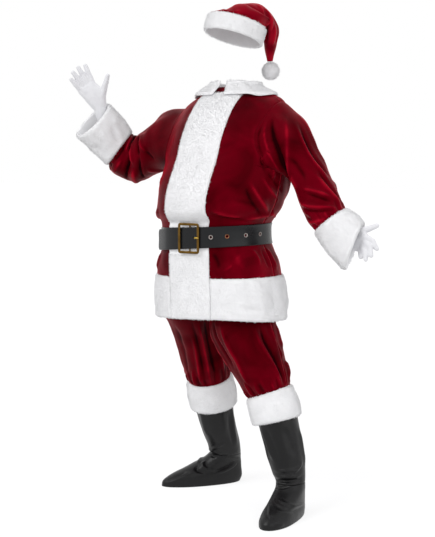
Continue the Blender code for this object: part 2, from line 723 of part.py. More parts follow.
def make_prong(frame_back):
    """The prong's end, which comes out of its hole and rests on the frame's outer bar."""
    at, outward = strap_place(EYELET_ANGLES[0])
    bar_inside = BUCKLE_X + BUCKLE_WIDE / 2 - BUCKLE_BAR
    rise = frame_back - BUCKLE_THICK - SEAM_GAP - PRONG / 2
    path = [
        (at[0], at[1] + 0.001, at[2]),
        (at[0] + 0.002, at[1] - 0.002, at[2]),
        ((at[0] + bar_inside) / 2, rise, at[2]),
        (bar_inside + BUCKLE_BAR * 0.8, rise, at[2]),
    ]
    curve = bpy.data.curves.new("buckle_prong", "CURVE")
    curve.dimensions = "3D"
    curve.bevel_depth = PRONG / 2
    curve.bevel_resolution = 2
    curve.use_fill_caps = True
    curve.materials.append(BRASS)
    spline = curve.splines.new("POLY")
    spline.points.add(len(path) - 1)
    for point, place in zip(spline.points, path):
        point.co = (*place, 1.0)
    SUIT.objects.link(bpy.data.objects.new("buckle_prong", curve))


# The trousers: each leg has a front and a back, and above the crotch they meet at the middle.


def leg_lean(z):
    return ease((LEAN_NONE - z) / (LEAN_NONE - LEAN_ALL))


def inside_angle(tube, z):
    """How far round the inner edge is from the front: at the inseam, then at the middle seam."""
    rings = smooth(tube.knots, tube.rings, z)
    share = np.abs(rings[..., 0, 0]) / np.abs(rings[..., 1, 0])
    angle = np.degrees(np.arcsin(np.clip(share, 0.0, 1.0)))
    return np.where(z <= CROTCH_Z, 90.0, angle)


def make_trousers():
    z = np.array((TROUSER_SEAM_Z, 0.455, 0.50, 0.56, 0.62, 0.665, *[row.z for row in HIPS[:-1]]))
    across = np.linspace(0.0, 1.0, LEG_COLUMNS)
    pieces = []
    for side, table in (("left", LEFT_LEG), ("right", RIGHT_LEG)):
        outward = 1.0 if side == "left" else -1.0
        tube = level_tube(table + HIPS, LIMB_SQUARE, 0.0, leg_lean, outward)
        inside = inside_angle(tube, z)[:, None]
        place = partial(on_tube, tube)
        way = 1 if side == "left" else -1
        front = -inside + (90.0 + inside) * across
        back = 90.0 + (90.0 + inside) * across
        ring = np.hstack((front[:1], back[:1, 1:-1]))
        cuff_z = np.linspace(table[0].z, TROUSER_SEAM_Z, 3)[:, None]
        for name, angles in (("front", front), ("back", back)):
            panel = f"trouser_{side}_{name}"
            pieces.append(cloth(panel, place, angles[:, ::way], z[:, None], 0.0, VELVET, RED))
        cuff = f"trouser_cuff_{side}"
        pieces.append(cloth(cuff, place, ring[:, ::way], cuff_z, 0.0, PLUSH, FUR, True))
    hips = partial(on_tube, level_tube(HIPS, LIMB_SQUARE))
    round_waist = full_circle(4 * (LEG_COLUMNS - 1))[None, :]
    waist_z = np.array((WAIST_LOW, WAIST_TOP))[:, None]
    pieces.append(cloth("waistband", hips, round_waist, waist_z, 0.0, ELASTIC, RED, True))
    sew(pieces)


def make_boots():
    foot_z = np.array((BOOT_LOW, 0.016, 0.032, 0.048, 0.064, 0.080, 0.098, BOOT_SEAM_Z))
    shaft_z = np.array((BOOT_SEAM_Z, 0.145, 0.19, 0.25, 0.31, BOOT_TOP))
    turned = {"left": (LEFT_BOOT, LEFT_FOOT_TURN), "right": (RIGHT_BOOT, RIGHT_FOOT_TURN)}
    for side, (table, turn) in turned.items():
        place = partial(on_tube, level_tube(table, LIMB_SQUARE, turn))
        angles = full_circle(BOOT_COLUMNS)[None, :]
        foot, shaft = f"boot_foot_{side}", f"boot_shaft_{side}"
        sew(
            [
                cloth(foot, place, angles, foot_z[:, None], 0.0, VINYL, BLACK_VINYL, True),
                cloth(shaft, place, angles, shaft_z[:, None], 0.0, VINYL, BLACK_VINYL, True),
            ]
        )


def make_hat():
    band = level_tube(HAT_BAND, LIMB_SQUARE, 0.0, np.ones_like)
    angles = full_circle(HAT_COLUMNS)[None, :]
    top = HAT_BAND[-1].z
    start = Loop(*on_tube(band, 270.0, top), *on_tube(band, 90.0, top), HAT_BAND[-1].front)
    cone = loop_tube([start, *HAT_CONE], HAT_FACING)

    def crown(angle, at):
        return joined_tube(cone, lambda a: on_tube(band, a, top), angle, at)

    at = np.linspace(0.0, len(HAT_CONE), HAT_ROWS)[:, None]
    levels = np.array([row.z for row in HAT_BAND])[:, None]
    sew(
        [
            cloth("hat_band", partial(on_tube, band), angles, levels, 0.0, PLUSH, FUR, True),
            cloth("hat_cone", crown, angles, at, 0.0, VELVET, RED, True),
        ]
    )
    mesh = bpy.data.meshes.new("pompom")
    ball = bmesh.new()
    bmesh.ops.create_icosphere(ball, subdivisions=2, radius=POMPOM_RADIUS)
    bmesh.ops.translate(ball, vec=POMPOM_AT, verts=ball.verts)
    ball.to_mesh(mesh)
    ball.free()
    mesh.materials.append(FUR)
    SUIT.objects.link(bpy.data.objects.new("pompom", mesh))


# The gloves: skin stretched over the balls of each group, then joined and hollowed.


def stretched(name, balls, less, turn):
    """The skin round a group of balls, with each made smaller. turn keeps groups' facets apart."""
    mesh = bpy.data.meshes.new(name)
    shape = bmesh.new()
    spin = Matrix.Rotation(turn, 4, (1.0, 2.0, 3.0))
    for ball in balls:
        place = Matrix.Translation((ball.x, ball.y, ball.z)) @ spin
        bmesh.ops.create_icosphere(shape, subdivisions=1, radius=ball.radius - less, matrix=place)
    bmesh.ops.delete(shape, geom=shape.edges[:] + shape.faces[:], context="EDGES_FACES")
    hull = bmesh.ops.convex_hull(shape, input=shape.verts)
    inside = list(set(hull["geom_interior"] + hull["geom_unused"]))
    bmesh.ops.delete(shape, geom=inside, context="VERTS")
    bmesh.ops.recalc_face_normals(shape, faces=shape.faces)
    shape.to_mesh(mesh)
    shape.free()
    mesh.materials.append(WHITE_COTTON)
    obj = bpy.data.objects.new(name, mesh)
    SUIT.objects.link(obj)
    return obj


def joined_hand(name, hand, less):
    whole = stretched(name, hand["wrist"], less, 0.0)
    for number, (part, balls) in enumerate(list(hand.items())[1:], 1):
        cut_or_join(whole, stretched(part, balls, less, number), "UNION")
    return whole


def make_glove(side, hand):
    glove = joined_hand(f"glove_{side}", hand, 0.0)
    cut_or_join(glove, joined_hand("hollow", hand, COTTON), "DIFFERENCE")
    start, end = hand["wrist"]
    wrist = Vector(start[:3])
    inward = (Vector(end[:3]) - wrist).normalized()
    mouth = drill(wrist - inward * WRIST_CUT, inward, 2 * start.radius, 2 * WRIST_CUT)
    cut_or_join(glove, mouth, "DIFFERENCE")


def move_to_neck():
    """Puts the origin where the wearer holds the suit."""
    for obj in bpy.data.objects:
        if obj.type == "MESH":
            for vertex in obj.data.vertices:
                vertex.co -= Vector(HELD_AT)
        if obj.type == "CURVE":
            for point in obj.data.splines[0].points:
                point.co -= Vector((*HELD_AT, 0.0))


for old in list(bpy.data.objects):
    bpy.data.objects.remove(old)
SUIT = bpy.data.collections.new("santa_suit")
CUTTERS = bpy.data.collections.new("cutters")
bpy.context.scene.collection.children.link(SUIT)
bpy.context.scene.collection.children.link(CUTTERS)
CUTTERS.hide_render = True

RED = material("red_velvet", (0.16, 0.002, 0.010), 0.8)
FUR = material("white_plush", (0.85, 0.85, 0.87), 0.95)
BLACK_LEATHER = material("black_leather", (0.025, 0.028, 0.032), 0.45)
BLACK_VINYL = material("black_vinyl", (0.025, 0.024, 0.025), 0.5)
WHITE_COTTON = material("white_cotton", (0.80, 0.80, 0.82), 0.9)
BRASS = material("antique_brass", (0.20, 0.12, 0.035), 0.4, 1.0)
NICKEL = material("nickel", (0.6, 0.55, 0.5), 0.3, 1.0)

BODY = level_tube(TORSO, BODY_SQUARE, BODY_TURN)
make_jacket()
STRAP = make_strap()
make_eyelets(STRAP)
make_prong(make_buckle())
make_trousers()
make_boots()
make_hat()
make_glove("left", LEFT_HAND)
make_glove("right", RIGHT_HAND)
move_to_neck()
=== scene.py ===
"""The looks of a Santa suit as worn: crimson velvet, white plush, leather, brass, vinyl and cotton.

The tables are measured from the floor between the feet, in metres, as the suit was cut: x to the
wearer's left, y to the back and z up. HELD_AT takes them into the frame, whose origin is the neck.
"""

import math
from collections import namedtuple
from functools import partial

import bmesh
import bpy
import numpy as np
from mathutils import Matrix, Vector, noise


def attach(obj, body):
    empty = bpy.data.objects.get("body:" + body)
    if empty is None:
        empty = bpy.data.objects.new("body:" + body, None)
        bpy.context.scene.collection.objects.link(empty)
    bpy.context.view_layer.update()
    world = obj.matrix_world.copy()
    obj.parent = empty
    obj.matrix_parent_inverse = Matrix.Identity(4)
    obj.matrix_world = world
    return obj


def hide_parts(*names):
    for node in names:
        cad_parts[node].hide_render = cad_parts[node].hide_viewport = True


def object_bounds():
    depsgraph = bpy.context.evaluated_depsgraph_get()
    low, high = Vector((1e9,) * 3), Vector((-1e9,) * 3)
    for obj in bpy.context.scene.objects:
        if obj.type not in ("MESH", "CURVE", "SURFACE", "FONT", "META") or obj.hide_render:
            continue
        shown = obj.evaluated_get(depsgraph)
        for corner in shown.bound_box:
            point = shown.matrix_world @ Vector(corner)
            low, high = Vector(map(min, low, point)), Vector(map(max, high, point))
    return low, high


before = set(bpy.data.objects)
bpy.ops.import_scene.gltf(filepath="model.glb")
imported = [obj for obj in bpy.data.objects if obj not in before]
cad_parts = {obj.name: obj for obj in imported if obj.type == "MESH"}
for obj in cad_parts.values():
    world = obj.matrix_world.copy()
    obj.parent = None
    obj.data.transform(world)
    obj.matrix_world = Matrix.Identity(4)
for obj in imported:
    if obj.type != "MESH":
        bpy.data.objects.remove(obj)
CAD_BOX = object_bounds()


# The studio: a pale floor that runs out of sight, a bright even sky, a soft key light from the
# wearer's right and above, and a weaker one from the left. The camera stands a little to the left.
FLOOR_Z = CAD_BOX[0][2] - 0.001
CAMERA_AT = Vector((2.206, -3.662, -0.250))
CAMERA_AIM = Vector((-0.020, -0.100, -0.646))
CAMERA_LENS = 78.62
KEY_FROM = Vector((-0.35, -0.72, 0.75))
FILL_FROM = Vector((0.95, -0.25, 0.35))
KEY_POWER = 1.0
FILL_POWER = 0.45
SKY_POWER = 0.95
FLOOR_BOUNCE = 0.92
FLOOR_GLOW = 0.76
FLOOR_WHITE = 1.04


def linear(colour):
    """An sRGB hex colour as the linear colour that a shader takes."""
    shares = [int(colour[i : i + 2], 16) / 255 for i in (1, 3, 5)]
    return (*(s / 12.92 if s <= 0.04045 else ((s + 0.055) / 1.055) ** 2.4 for s in shares), 1.0)


def add_node(tree, kind, inputs=None, **settings):
    """Adds a node with its settings. Each input is a value, or another node's output to link."""
    node = tree.nodes.new(kind)
    for name, value in settings.items():
        setattr(node, name, value)
    for name, value in (inputs or {}).items():
        if isinstance(value, bpy.types.NodeSocket):
            tree.links.new(value, node.inputs[name])
        else:
            node.inputs[name].default_value = value
    return node


def new_material(name):
    """An empty material with its output node."""
    made = bpy.data.materials.new(name)
    made.use_nodes = True
    made.node_tree.nodes.clear()
    return made, made.node_tree, made.node_tree.nodes.new("ShaderNodeOutputMaterial")


def add_ramp(tree, factor, *stops):
    """A ramp's colour over a factor. Each stop is its place and its linear colour, in order."""
    node = add_node(tree, "ShaderNodeValToRGB", {"Fac": factor})
    marks = node.color_ramp.elements
    for mark, (at, colour) in ((marks[0], stops[0]), (marks[-1], stops[-1])):
        mark.position = at
        mark.color = colour
    for at, colour in stops[1:-1]:
        marks.new(at).color = colour
    return node.outputs["Color"]


def add_bump(tree, height, strength, distance, over=None):
    """The normal of a surface that is bumped by a height, over another bump's where there is one."""
    inputs = {"Height": height, "Strength": strength, "Distance": distance}
    if over is not None:
        inputs["Normal"] = over
    return add_node(tree, "ShaderNodeBump", inputs).outputs[0]


def add_sun(name, come_from, power, spread):
    light = bpy.data.lights.new(name, "SUN")
    light.energy = power
    light.angle = math.radians(spread)
    sun = bpy.data.objects.new(name, light)
    sun.rotation_euler = come_from.to_track_quat("Z", "Y").to_euler()
    bpy.context.scene.collection.objects.link(sun)


camera = bpy.data.objects.new("camera", bpy.data.cameras.new("camera"))
camera.data.lens = CAMERA_LENS
camera.data.clip_end = 100.0
camera.location = CAMERA_AT
camera.rotation_euler = (CAMERA_AIM - CAMERA_AT).to_track_quat("-Z", "Y").to_euler()
bpy.context.scene.collection.objects.link(camera)
bpy.context.scene.camera = camera
bpy.context.scene.view_settings.view_transform = "Standard"

add_sun("key_light", KEY_FROM, KEY_POWER, 35.0)
add_sun("fill_light", FILL_FROM, FILL_POWER, 60.0)
world = bpy.data.worlds.new("sky")
world.use_nodes = True
world.node_tree.nodes.clear()
sky_light = add_node(world.node_tree, "ShaderNodeBackground", {"Strength": SKY_POWER})
sky_seen = add_node(world.node_tree, "ShaderNodeBackground", {"Strength": 1.0})
for sky in (sky_light, sky_seen):
    sky.inputs["Color"].default_value = linear("#ffffff")
eye = add_node(world.node_tree, "ShaderNodeLightPath")
sky_mix = add_node(
    world.node_tree,
    "ShaderNodeMixShader",
    {0: eye.outputs["Is Camera Ray"], 1: sky_light.outputs[0], 2: sky_seen.outputs[0]},
)
add_node(world.node_tree, "ShaderNodeOutputWorld", {"Surface": sky_mix.outputs[0]})
bpy.context.scene.world = world

bpy.ops.mesh.primitive_plane_add(size=80.0, location=(0.0, 0.0, FLOOR_Z))
floor = bpy.context.object
floor.name = "studio_floor"
floor_paint, tree, output = new_material("matt_white_paint")
paint = add_node(tree, "ShaderNodeBsdfDiffuse", {"Color": linear("#f2f2f4"), "Roughness": 1.0})
bounce = add_node(tree, "ShaderNodeEmission", {"Strength": FLOOR_BOUNCE})
glow = add_node(tree, "ShaderNodeEmission", {"Strength": FLOOR_WHITE})
faint_shadow = add_node(
    tree, "ShaderNodeMixShader", {0: FLOOR_GLOW, 1: paint.outputs[0], 2: glow.outputs[0]}
)
eye = add_node(tree, "ShaderNodeLightPath")
paint_seen = add_node(
    tree,
    "ShaderNodeMixShader",
    {0: eye.outputs["Is Camera Ray"], 1: bounce.outputs[0], 2: faint_shadow.outputs[0]},
)
tree.links.new(paint_seen.outputs[0], output.inputs["Surface"])
floor.data.materials.append(floor_paint)


# The jacket's body: two fronts and a back cut from crimson velvet, sewn at the shoulders and down
# the sides. It is cut wide, so it hangs in folds from the armholes and bulges out over the belt.
HELD_AT = np.array((0.02, 0.10, 1.50))
VELVET = 0.002
HEM_Z = 0.680
HEM_BAND_TOP = 0.835
BELT_Z = 0.975
BELT_HALF = 0.0375
UNDERARM_Z = 1.220
SHOULDER_Z = 1.430
NECK_Z = 1.500
ARMHOLE_REACH = 36.0
BAND_HALF = 0.0840
BAND_MOST = 0.7
BODY_SQUARE = 2.25
BODY_TURN = -3.5
BELT_TILT = 0.06
BELT_TILT_REACH = 0.20
TURN_STEP = 0.5
ALONG_STEP = 0.001
FINE_STEP = 0.005
SEAM_GAP = 0.0003
CORNER_REACH = 0.016
PUFF_AT = np.array((0.205, 0.095, 1.430))
PUFF_REACH = 0.060
PUFF = np.array((0.005, 0.0, 0.014))
FRONT_ROUND = 0.33
BACK_ROUND = 0.66
# A fold's path is drawn through this many points. A fold no wider than SHARP_WIDTH and as deep as
# FULL_DEPTH marks its ridge fully, and CREST_LIGHT is how much painted highlight a full ridge puts
# into velvet's colour, and how much painted shade a full trough puts into it.
FOLD_POINTS = 14
SHARP_WIDTH = 0.016
FULL_DEPTH = 0.010
CREST_LIGHT = 0.44
# Nearer to an armhole's seam than this, the side of the seam decides how far out a point is.
SEAM_REACH = 0.008

# A level is a flat ring: its middle, and how far it reaches sideways, forwards and backwards.
Level = namedtuple("Level", "z x y side front back")

TORSO = [
    Level(0.680, 0.011, 0.010, 0.240, 0.191, 0.173),
    Level(0.760, 0.010, 0.008, 0.236, 0.189, 0.172),
    Level(0.835, 0.005, 0.006, 0.231, 0.186, 0.171),
    Level(0.880, 0.003, 0.003, 0.222, 0.183, 0.170),
    Level(0.918, 0.001, 0.000, 0.204, 0.180, 0.169),
    Level(0.9375, -0.001, 0.000, 0.196, 0.179, 0.168),
    Level(0.975, -0.002, 0.000, 0.191, 0.179, 0.168),
    Level(1.0125, -0.001, 0.000, 0.194, 0.179, 0.170),
    Level(1.032, 0.003, 0.002, 0.202, 0.182, 0.174),
    Level(1.062, 0.009, 0.012, 0.215, 0.222, 0.182),
    Level(1.100, 0.013, 0.022, 0.221, 0.238, 0.184),
    Level(1.160, 0.018, 0.032, 0.224, 0.233, 0.180),
    Level(1.240, 0.020, 0.050, 0.224, 0.209, 0.166),
    Level(1.330, 0.020, 0.068, 0.216, 0.188, 0.148),
    Level(1.400, 0.020, 0.085, 0.202, 0.158, 0.122),
    Level(1.445, 0.020, 0.093, 0.174, 0.123, 0.103),
    Level(1.475, 0.020, 0.098, 0.130, 0.092, 0.088),
    Level(1.500, 0.020, 0.100, 0.085, 0.072, 0.072),
    Level(1.525, 0.020, 0.103, 0.078, 0.067, 0.066),
]

# A fold runs between two places on a surface, bowed to one side by an angle. Its depth is how far
# it stands out, or sinks where it is negative, and its lean makes one side the steeper.
Fold = namedtuple("Fold", "angle_1 at_1 angle_2 at_2 bow width depth lean")

JACKET_FOLDS = [
    # From the left armhole down across the front.
    Fold(55, 1.175, 92, 1.035, -4, 0.013, 0.010, 0.4),
    Fold(52, 1.160, 84, 1.030, -3, 0.009, -0.007, -0.3),
    Fold(66, 1.190, 96, 1.085, -2, 0.010, 0.008, 0.3),
    Fold(70, 1.210, 100, 1.120, 0, 0.008, -0.006, 0.0),
    # Up and down beside the left armhole.
    Fold(68, 1.385, 78, 1.190, -5, 0.010, 0.009, -0.3),
    Fold(61, 1.370, 74, 1.180, -5, 0.011, -0.007, 0.2),
    Fold(75, 1.300, 84, 1.150, -2, 0.008, 0.007, 0.3),
    Fold(52, 1.370, 62, 1.230, -3, 0.016, 0.004, 0.0),
    # The left front's bulge over the belt.
    Fold(24, 1.072, 60, 1.038, -4, 0.012, 0.008, 0.5),
    Fold(30, 1.052, 66, 1.026, -3, 0.008, -0.007, 0.0),
    Fold(58, 1.034, 96, 1.048, 3, 0.011, 0.009, 0.2),
    Fold(40, 1.110, 72, 1.075, 4, 0.020, -0.005, 0.0),
    Fold(84, 1.060, 112, 1.030, 0, 0.010, 0.008, 0.0),
    # The right front and side.
    Fold(-56, 1.200, -92, 1.060, 4, 0.013, 0.009, -0.4),
    Fold(-66, 1.230, -100, 1.120, 3, 0.010, 0.007, -0.3),
    Fold(-68, 1.380, -77, 1.200, 4, 0.011, 0.007, 0.3),
    Fold(-38, 1.074, -68, 1.036, 3, 0.011, 0.008, -0.4),
    Fold(-62, 1.040, -100, 1.052, -4, 0.011, 0.009, 0.0),
    Fold(-46, 1.120, -80, 1.085, -4, 0.017, -0.005, 0.0),
    # The back, pulled across from the raised arm and hanging from the shoulders.
    Fold(-118, 1.350, -160, 1.180, 6, 0.017, 0.009, 0.3),
    Fold(-112, 1.290, -150, 1.100, 7, 0.013, 0.008, 0.2),
    Fold(-105, 1.240, -132, 1.070, 4, 0.010, 0.007, -0.2),
    Fold(112, 1.330, 150, 1.130, -6, 0.016, 0.009, -0.3),
    Fold(106, 1.260, 134, 1.080, -5, 0.012, 0.008, -0.2),
    Fold(168, 1.380, 176, 1.080, 4, 0.020, 0.007, 0.0),
    Fold(190, 1.350, 184, 1.070, -3, 0.014, -0.006, 0.0),
    Fold(205, 1.300, 214, 1.060, 4, 0.015, 0.007, 0.2),
    Fold(150, 1.070, 186, 1.040, 5, 0.012, 0.008, 0.0),
    Fold(196, 1.045, 236, 1.065, -4, 0.012, 0.008, 0.0),
    # The skirt below the belt.
    Fold(30, 0.858, 42, 0.884, 3, 0.010, 0.004, 0.4),
    Fold(24, 0.930, 28, 0.860, 2, 0.016, -0.005, 0.0),
    Fold(50, 0.925, 56, 0.850, -3, 0.020, 0.004, 0.3),
    Fold(70, 0.930, 73, 0.870, 2, 0.008, 0.005, 0.0),
    Fold(92, 0.930, 97, 0.850, 0, 0.010, 0.007, -0.2),
    Fold(84, 0.925, 86, 0.860, 0, 0.007, -0.005, 0.0),
    Fold(-46, 0.925, -51, 0.850, -2, 0.010, 0.006, 0.0),
    Fold(-72, 0.930, -78, 0.850, 2, 0.013, 0.007, 0.0),
    Fold(-100, 0.930, -108, 0.860, 0, 0.010, -0.005, 0.0),
]

# A loop is a ring of a bent tube: the two points across its bend, and its half depth.
Loop = namedtuple("Loop", "top_x top_y top_z under_x under_y under_z deep")

LEFT_SLEEVE = [
    Loop(0.293, 0.090, 1.383, 0.262, 0.068, 1.172, 0.096),
    Loop(0.347, 0.100, 1.277, 0.284, 0.060, 1.142, 0.090),
    Loop(0.390, 0.098, 1.202, 0.308, 0.046, 1.100, 0.084),
    Loop(0.434, 0.088, 1.130, 0.340, 0.029, 1.047, 0.074),
    Loop(0.467, 0.080, 1.072, 0.383, 0.027, 0.999, 0.064),
]
LEFT_CUFF = [
    Loop(0.513, 0.066, 1.050, 0.438, 0.025, 0.933, 0.072),
    Loop(0.545, 0.052, 1.020, 0.500, 0.024, 0.877, 0.078),
]
RIGHT_SLEEVE = [
    Loop(-0.283, 0.083, 1.425, -0.316, 0.062, 1.192, 0.104),
    Loop(-0.339, 0.083, 1.385, -0.377, 0.059, 1.167, 0.100),
    Loop(-0.392, 0.079, 1.338, -0.434, 0.053, 1.167, 0.090),
    Loop(-0.409, 0.068, 1.333, -0.480, 0.022, 1.196, 0.080),
    Loop(-0.419, 0.050, 1.342, -0.490, 0.006, 1.229, 0.069),
]
RIGHT_CUFF = [
    Loop(-0.446, 0.018, 1.395, -0.530, -0.034, 1.285, 0.074),
    Loop(-0.474, -0.020, 1.446, -0.570, -0.079, 1.337, 0.078),
]
# Which way the loops' front looks, at the start and at the end of each tube.
SLEEVE_FACING = {
    "left": ((0.0, -1.0, 0.0), (0.35, -0.90, 0.10)),
    "right": ((0.1, -0.99, 0.0), (0.37, -0.78, -0.50)),
}

# Rings are arrays of four vectors a row: middle, side, front and back.
Tube = namedtuple("Tube", "knots rings square")


def unit(vectors):
    return vectors / np.linalg.norm(vectors, axis=-1, keepdims=True)


def ease(x):
    x = np.clip(x, 0.0, 1.0)
    return x * x * (3.0 - 2.0 * x)


def smooth(knots, values, at):
    """Values at any places on a smooth curve through those at the knots."""
    at = np.asarray(at, float)
    slopes = np.gradient(values, knots, axis=0)
    low = np.clip(np.searchsorted(knots, at, side="right") - 1, 0, len(knots) - 2)
    step = (knots[low + 1] - knots[low]).reshape(at.shape + (1,) * (values.ndim - 1))
    f = (at - knots[low]).reshape(step.shape) / step
    start = values[low] * (1 + 2 * f) + slopes[low] * step * f
    end = values[low + 1] * (3 - 2 * f) - slopes[low + 1] * step * (1 - f)
    return start * (1 - f) ** 2 + end * f**2


def level_tube(table, square, turn=0.0, lean=None, outward=1.0):
    """A tube of levels. lean gives, for each height, how far its rings stand square to the path."""
    middle = np.array([(row.x * outward, row.y, row.z) for row in table])
    upward = np.tile((0.0, 0.0, 1.0), (len(table), 1))
    if lean is not None:
        share = lean(middle[:, 2])[:, None]
        upward = unit(share * unit(np.gradient(middle, axis=0)) + (1 - share) * upward)
    angle = math.radians(turn)
    ahead = unit(np.cross((math.cos(angle), math.sin(angle), 0.0), upward))
    aside = np.cross(upward, ahead) * outward
    size = np.array([(row.side, row.front, row.back) for row in table])
    rings = np.stack(
        (middle, aside * size[:, :1], ahead * size[:, 1:2], -ahead * size[:, 2:]), axis=1
    )
    return Tube(middle[:, 2], rings, square)


def on_tube(tube, angle, at):
    """The tube's surface at the angles round it and the places along it."""
    angle, at = np.broadcast_arrays(np.radians(angle), at)
    middle, side, front, back = np.moveaxis(smooth(tube.knots, tube.rings, at), -2, 0)
    power = 2.0 / tube.square
    across, ahead = np.sin(angle)[..., None], np.cos(angle)[..., None]
    depth = np.where(ahead > 0, front, back) * np.abs(ahead) ** power
    return middle + side * np.sign(across) * np.abs(across) ** power + depth


BODY = level_tube(TORSO, BODY_SQUARE, BODY_TURN)


def on_body(angle, z):
    """The torso's surface, which rises to the wearer's left round the belt."""
    points = on_tube(BODY, angle, z)
    near_belt = ease(1.0 - np.abs(z - BELT_Z) / BELT_TILT_REACH)
    points[..., 2] += BELT_TILT * points[..., 0] * near_belt
    return points


def armhole_edge(z):
    """How far round the front's side edge is: the side seam, the armhole, then the shoulder seam."""
    half = (SHOULDER_Z - UNDERARM_Z) / 2
    up = (np.asarray(z) - UNDERARM_Z - half) / half
    return 90.0 - ARMHOLE_REACH * np.sqrt(np.clip(1.0 - up**2, 0.0, None))


def armhole_ring(side, angle, spread=1.0):
    """The armhole's edge, by the same angles as the sleeve's loops, or a ring spread beyond it."""
    angle = np.radians(angle)
    half = (SHOULDER_Z - UNDERARM_Z) / 2
    round_body = 90.0 - spread * ARMHOLE_REACH * np.cos(angle)
    if side == "right":
        round_body = 360.0 - round_body
    return on_body(round_body, UNDERARM_Z + half - spread * half * np.sin(angle))


def loop_tube(table, facing):
    """A tube of loops, with their fronts turned evenly from the first facing to the second."""
    top = np.array([(row.top_x, row.top_y, row.top_z) for row in table])
    under = np.array([(row.under_x, row.under_y, row.under_z) for row in table])
    deep = np.array([row.deep for row in table])[:, None]
    down = (under - top) / 2
    along = unit(down)
    look = np.linspace(*facing, len(table))
    ahead = unit(look - (along * look).sum(axis=1, keepdims=True) * along) * deep
    rings = np.stack(((top + under) / 2, down, ahead, -ahead), axis=1)
    return Tube(np.arange(len(table), dtype=float), rings, 2.0)


def joined_tube(tube, start, angle, at):
    """The tube's surface, with its first ring pulled onto a given one and eased out along it."""
    pull = start(angle) - on_tube(tube, angle, 0.0)
    return on_tube(tube, angle, at) + pull * (1.0 - ease(at))[..., None]


def sleeve_tube(side, table):
    front, under, behind, top = armhole_ring(side, np.array((0.0, 90.0, 180.0, 270.0)))
    armhole = Loop(*top, *under, np.linalg.norm(front - behind) / 2)
    tube = loop_tube([armhole, *table], SLEEVE_FACING[side])
    return partial(joined_tube, tube, partial(armhole_ring, side))


def away_from(ring, beside):
    """Unit directions square to a ring of points, towards others that lie beside it."""
    along = unit(np.roll(ring, -1, axis=0) - np.roll(ring, 1, axis=0))
    away = beside - ring
    return unit(away - (away * along).sum(-1, keepdims=True) * along)


def eased_corner(points, ring, own, other):
    """Fills the corner between two surfaces that meet at a ring, so that the cloth turns through it
    in one soft curve. own and other lead away from the ring on either surface."""
    near = np.empty(points.shape[:-1], int)
    for row in np.ndindex(points.shape[:-2]):
        near[row] = np.linalg.norm(points[row][..., None, :] - ring, axis=-1).argmin(axis=-1)
    offset = points - ring[near]
    apart = np.linalg.norm(offset, axis=-1)
    run = np.where(apart < SEAM_REACH, (offset * own[near]).sum(-1), apart)
    pull = (own + other)[near] * CORNER_REACH / 2
    return points + pull * np.exp(-run / CORNER_REACH)[..., None]


def puffed(points):
    """The cloth stands up a little on the left shoulder."""
    near = np.exp(-((points - PUFF_AT) ** 2).sum(-1) / PUFF_REACH**2)
    return points + near[..., None] * PUFF


RAW_SLEEVES = {
    "left": sleeve_tube("left", LEFT_SLEEVE + LEFT_CUFF),
    "right": sleeve_tube("right", RIGHT_SLEEVE + RIGHT_CUFF),
}
CORNERS = {}
for side, tube in RAW_SLEEVES.items():
    turns = np.arange(0.0, 360.0, 1.0)
    ring = armhole_ring(side, turns)
    on_torso = away_from(ring, armhole_ring(side, turns, 1.05))
    on_sleeve = away_from(ring, tube(turns, np.full(360, 0.03)))
    CORNERS[side] = ring, on_torso, on_sleeve


def on_jacket(angle, z):
    """The torso's surface with its armholes' corners eased."""
    points = on_body(angle, z)
    for ring, on_torso, on_sleeve in CORNERS.values():
        points = eased_corner(points, ring, on_torso, on_sleeve)
    return puffed(points)


def sleeve_place(side, angle, at):
    ring, on_torso, on_sleeve = CORNERS[side]
    return puffed(eased_corner(RAW_SLEEVES[side](angle, at), ring, on_sleeve, on_torso))


def band_edge(z):
    """Half the front band's angle, which keeps its width in metres until the neck narrows it."""
    side = np.linalg.norm(smooth(BODY.knots, BODY.rings, z)[..., 1, :], axis=-1)
    share = np.minimum(BAND_HALF / side, BAND_MOST)
    return np.degrees(np.arcsin(share ** (BODY_SQUARE / 2)))


def spaced(start, end, step=FINE_STEP):
    """Even places from start to end, about a step apart."""
    return np.linspace(start, end, max(3, round(abs(end - start) / step) + 1))


def folded(points, outward, place, folds):
    """How far the folds lift or sink the cloth at its points, and how near each point is to a fold's top
    (up to 1) or to the bottom of a trough (down to -1). Velvet gets a painted highlight on the tops
    and painted shade in the troughs from it."""
    lift = np.zeros(points.shape[:-1])
    painted_fold_light = np.zeros(points.shape[:-1])
    share = np.linspace(0.0, 1.0, FOLD_POINTS)
    last = FOLD_POINTS - 1
    for fold in folds:
        angle = fold.angle_1 + (fold.angle_2 - fold.angle_1) * share
        angle = angle + fold.bow * 4.0 * share * (1.0 - share)
        path = place(angle, fold.at_1 + (fold.at_2 - fold.at_1) * share)
        start, step = path[:-1], np.diff(path, axis=0)
        offset = points[..., None, :] - start
        along = np.clip((offset * step).sum(-1) / (step**2).sum(-1), 0.0, 1.0)
        offset = offset - along[..., None] * step
        away = np.linalg.norm(offset, axis=-1)
        nearest = away.argmin(axis=-1)
        away = away.min(axis=-1)
        offset = np.take_along_axis(offset, nearest[..., None, None], axis=-2)[..., 0, :]
        along = (nearest + np.take_along_axis(along, nearest[..., None], axis=-1)[..., 0]) / last
        side = np.sign((np.cross(step[nearest], offset) * outward).sum(-1))
        width = fold.width * (0.6 + 0.4 * np.sin(np.pi * along)) * (1.0 + fold.lean * side)
        ends = ease(np.minimum(along, 1.0 - along) / 0.3)
        lift += fold.depth * ends * np.exp(-((away / width) ** 2))
        sharp = min(1.0, (SHARP_WIDTH / fold.width) ** 2)
        painted_fold_light += sharp * fold.depth / FULL_DEPTH * ends * np.exp(-((away / (0.50 * width)) ** 2))
    return lift, np.clip(painted_fold_light, -1.0, 1.0)


